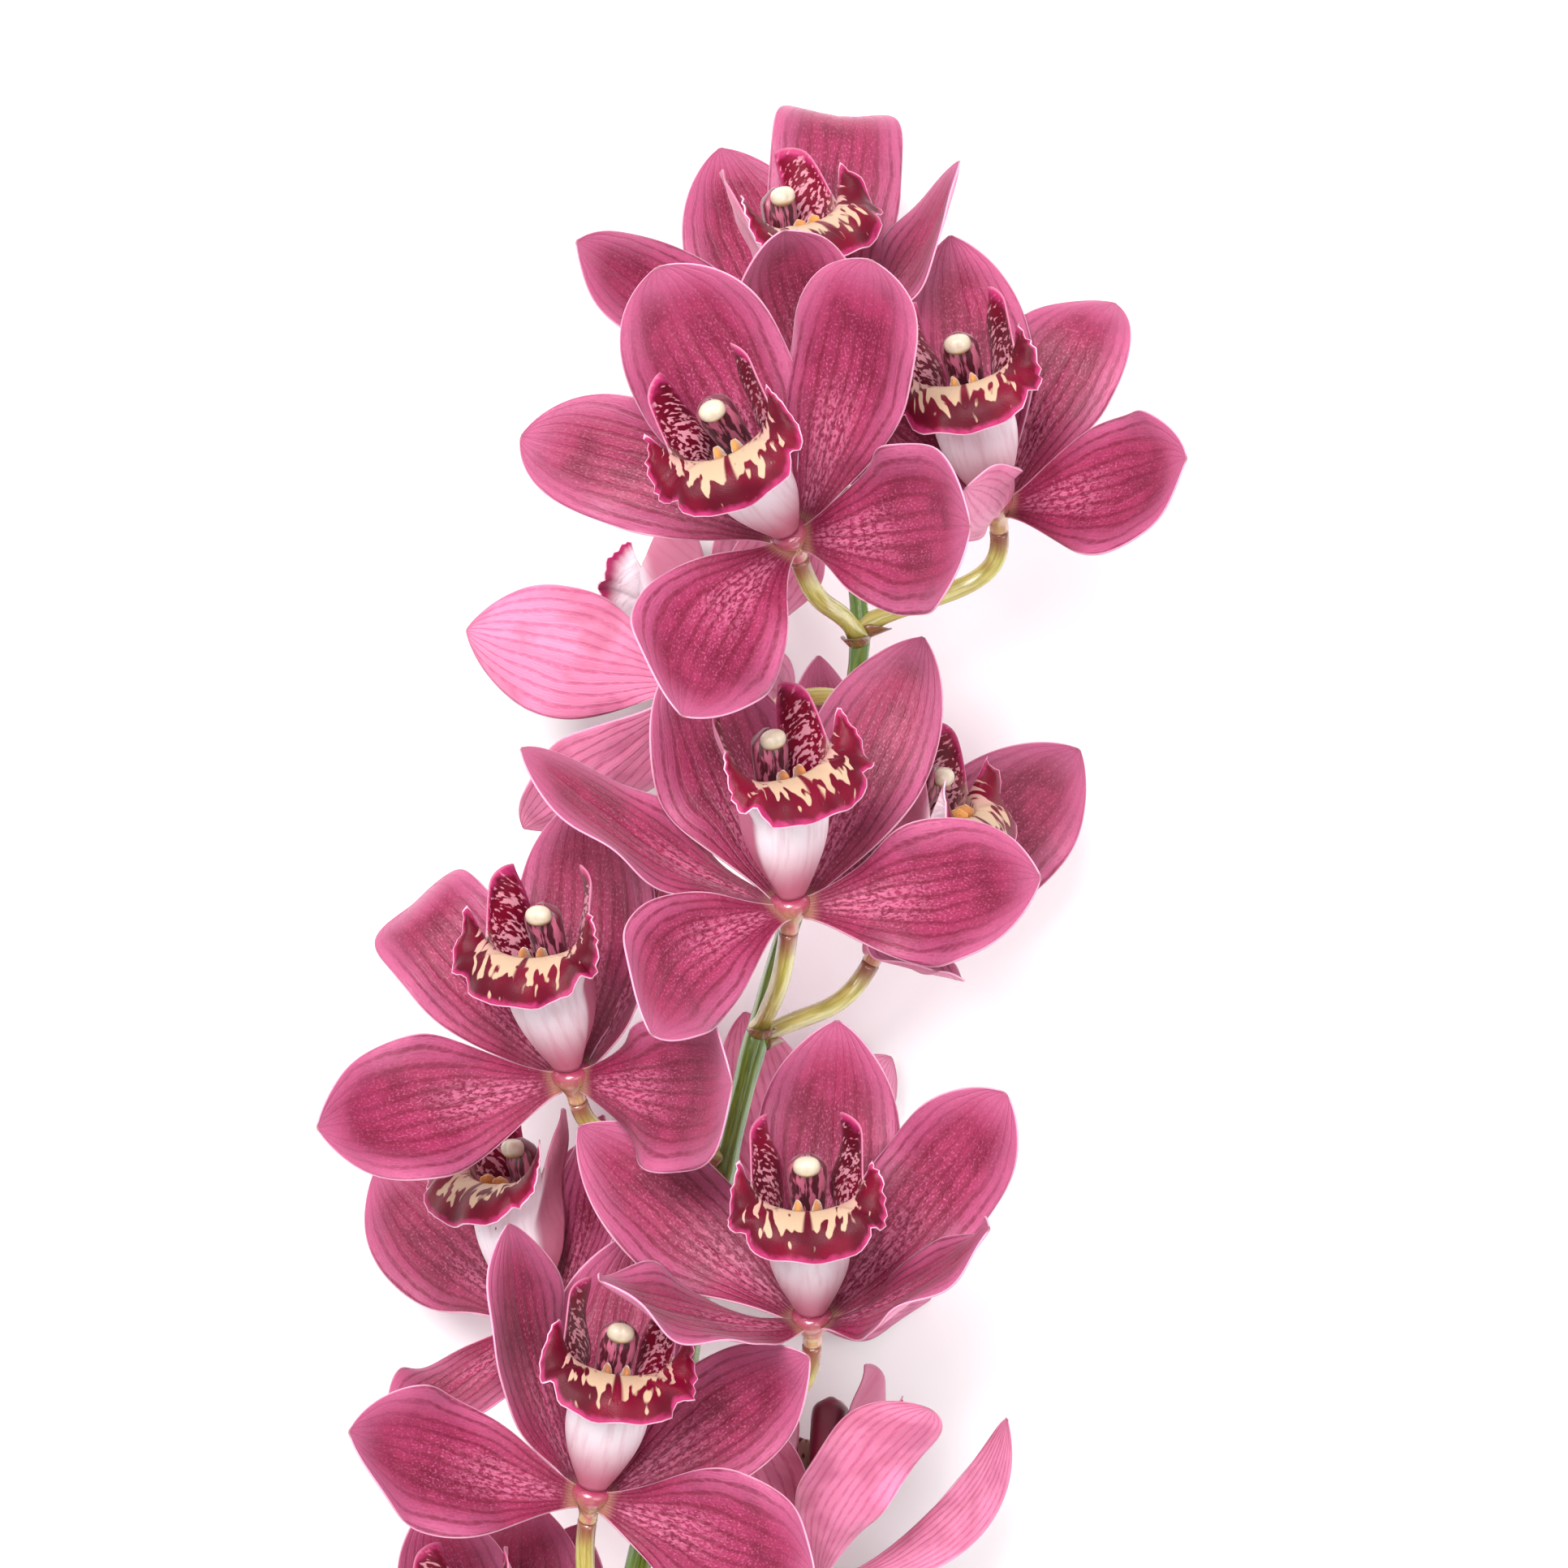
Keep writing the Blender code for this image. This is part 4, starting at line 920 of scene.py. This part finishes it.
# Each flower stalk has three ridges that turn a little on the way, and a swollen foot.
def pedicelPart(bloom, seed):
    line = pedicelLine(bloom, 48)
    s = np.linspace(0, 1, len(line))
    radius = np.interp(s, (0, 0.3), (stemSetting["pedicelRoot"], stemSetting["pedicelRadius"]))
    radius = radius * (1 + stemSetting["footSwell"] * np.exp(-(s / 0.07) ** 2))
    turn = around(24)
    ridge = stemSetting["pedicelRidge"] * smoothStep(s, 0.05, 0.3)[:, None]
    ridges = 1 + ridge * np.cos(turn * 3 + s[:, None] * 1.6 + seed)
    return tubePart(rings(line, np.array([[0, 0, 1.0]]), radius, radius, ridges, 24), seed * 29.0)


# Bracts, in millimetres and degrees, and the stalk's radius at places along Y, where they start.
bractSetting = {"long": 4.6, "thick": 0.25, "radius": 2.75, "flare": 0.5, "wrap": 80, "sunk": 0.8,
                "stalkAt": (-370, -200, 60), "stalkRadius": (4.4, 2.8, 1.6)}


# A small dry bract clasps the foot of each flower stalk from below: its edges close in as 1 - t squared.
def bractPart(bloom, seed):
    kind = bractSetting
    line = pedicelLine(bloom, 24)
    way = unit(line[1] - line[0])
    below = unit(np.array([0, -1.0, 0]) + way * way[1])
    side = np.cross(way, below)
    t = np.linspace(0, 1, 9)[:, None]
    v = np.linspace(-1, 1, 11)[None, :]
    start = np.interp(line[0][1], kind["stalkAt"], kind["stalkRadius"]) - kind["sunk"]
    angle = v * (math.radians(kind["wrap"]) * (1 - t ** 2) + 0.05)
    radius = kind["radius"] + kind["flare"] * t
    grid = line[0] + (start + kind["long"] * t)[..., None] * way
    grid = grid + (radius * np.cos(angle))[..., None] * below + (radius * np.sin(angle))[..., None] * side
    return sheetPart(grid, kind["thick"], v, t, 9.0, seed * 7.0)


stemParts = [(stalkPart(), 0)]
for makePart, finish in ((pedicelPart, 1), (bractPart, 2)):
    stemParts += [(makePart(bloom, k), finish) for k, bloom in enumerate(blooms.values(), 1)]
makePiece("stem", "stem", stemParts, [stalkSkin, pedicelSkin, bractSkin])
print("stem ready")


# The colours of the floor's paper, its side in metres, and the strength of the light from all round.
studio = {"floor": hue(250, 250, 251), "floorPatch": hue(244, 244, 246), "floorSize": 6.0, "world": 0.85}

# Each lamp: where it is from the raceme's middle in metres, its size and its power.
lamps = {"key": ((-0.5, 0.7, 1.8), 1.0, 58.0), "fill": ((0.9, -0.3, 1.5), 1.2, 14.0)}


def makeFloor():
    mesh = bpy.data.meshes.new("floor")
    half = studio["floorSize"] / 2
    corners = [(-half, -half, 0), (half, -half, 0), (half, half, 0), (-half, half, 0)]
    mesh.from_pydata(corners, [], [(0, 1, 2, 3)])
    made, tree, shader, _, _, spot = startMaterial("floor paper")
    colour = layer(tree, studio["floor"], studio["floorPatch"], noise(tree, spot, 3.0, 3.0), 0.15)
    tree.links.new(colour, shader.inputs["Base Color"])
    shader.inputs["Roughness"].default_value = 0.9
    shader.inputs["Specular IOR Level"].default_value = 0.1
    mesh.materials.append(made)
    floor = addObject("floor", mesh)


def makeLamp(name, away, size, power):
    light = bpy.data.lights.new(name, "AREA")
    light.shape = "RECTANGLE"
    light.size, light.size_y = size, size
    light.energy = power
    lamp = addObject(name, light)
    lamp.location = place((0, 0, 0)) + away
    lamp.rotation_euler = (-Vector(away)).to_track_quat("-Z", "Y").to_euler()


makeFloor()
for name, (away, size, power) in lamps.items():
    makeLamp(name, away, size, power)
world = bpy.data.worlds.new("studio")
bpy.context.scene.world = world
world.use_nodes = True
backdrop = world.node_tree.nodes["Background"].inputs
backdrop["Color"].default_value = (1, 1, 1, 1)
backdrop["Strength"].default_value = studio["world"]
bpy.context.scene.view_settings.view_transform = "Standard"

camera = bpy.data.cameras.new("camera")
camera.lens = cameraSetting["lens"]
camera.sensor_width = cameraSetting["sensor"]
camera.dof.use_dof = False
camera.clip_end = 20.0
cameraObject = addObject("camera", camera)
cameraObject.location = place((0, 0, cameraSetting["height"]))
bpy.context.scene.camera = cameraObject
print("floor, light and camera ready")
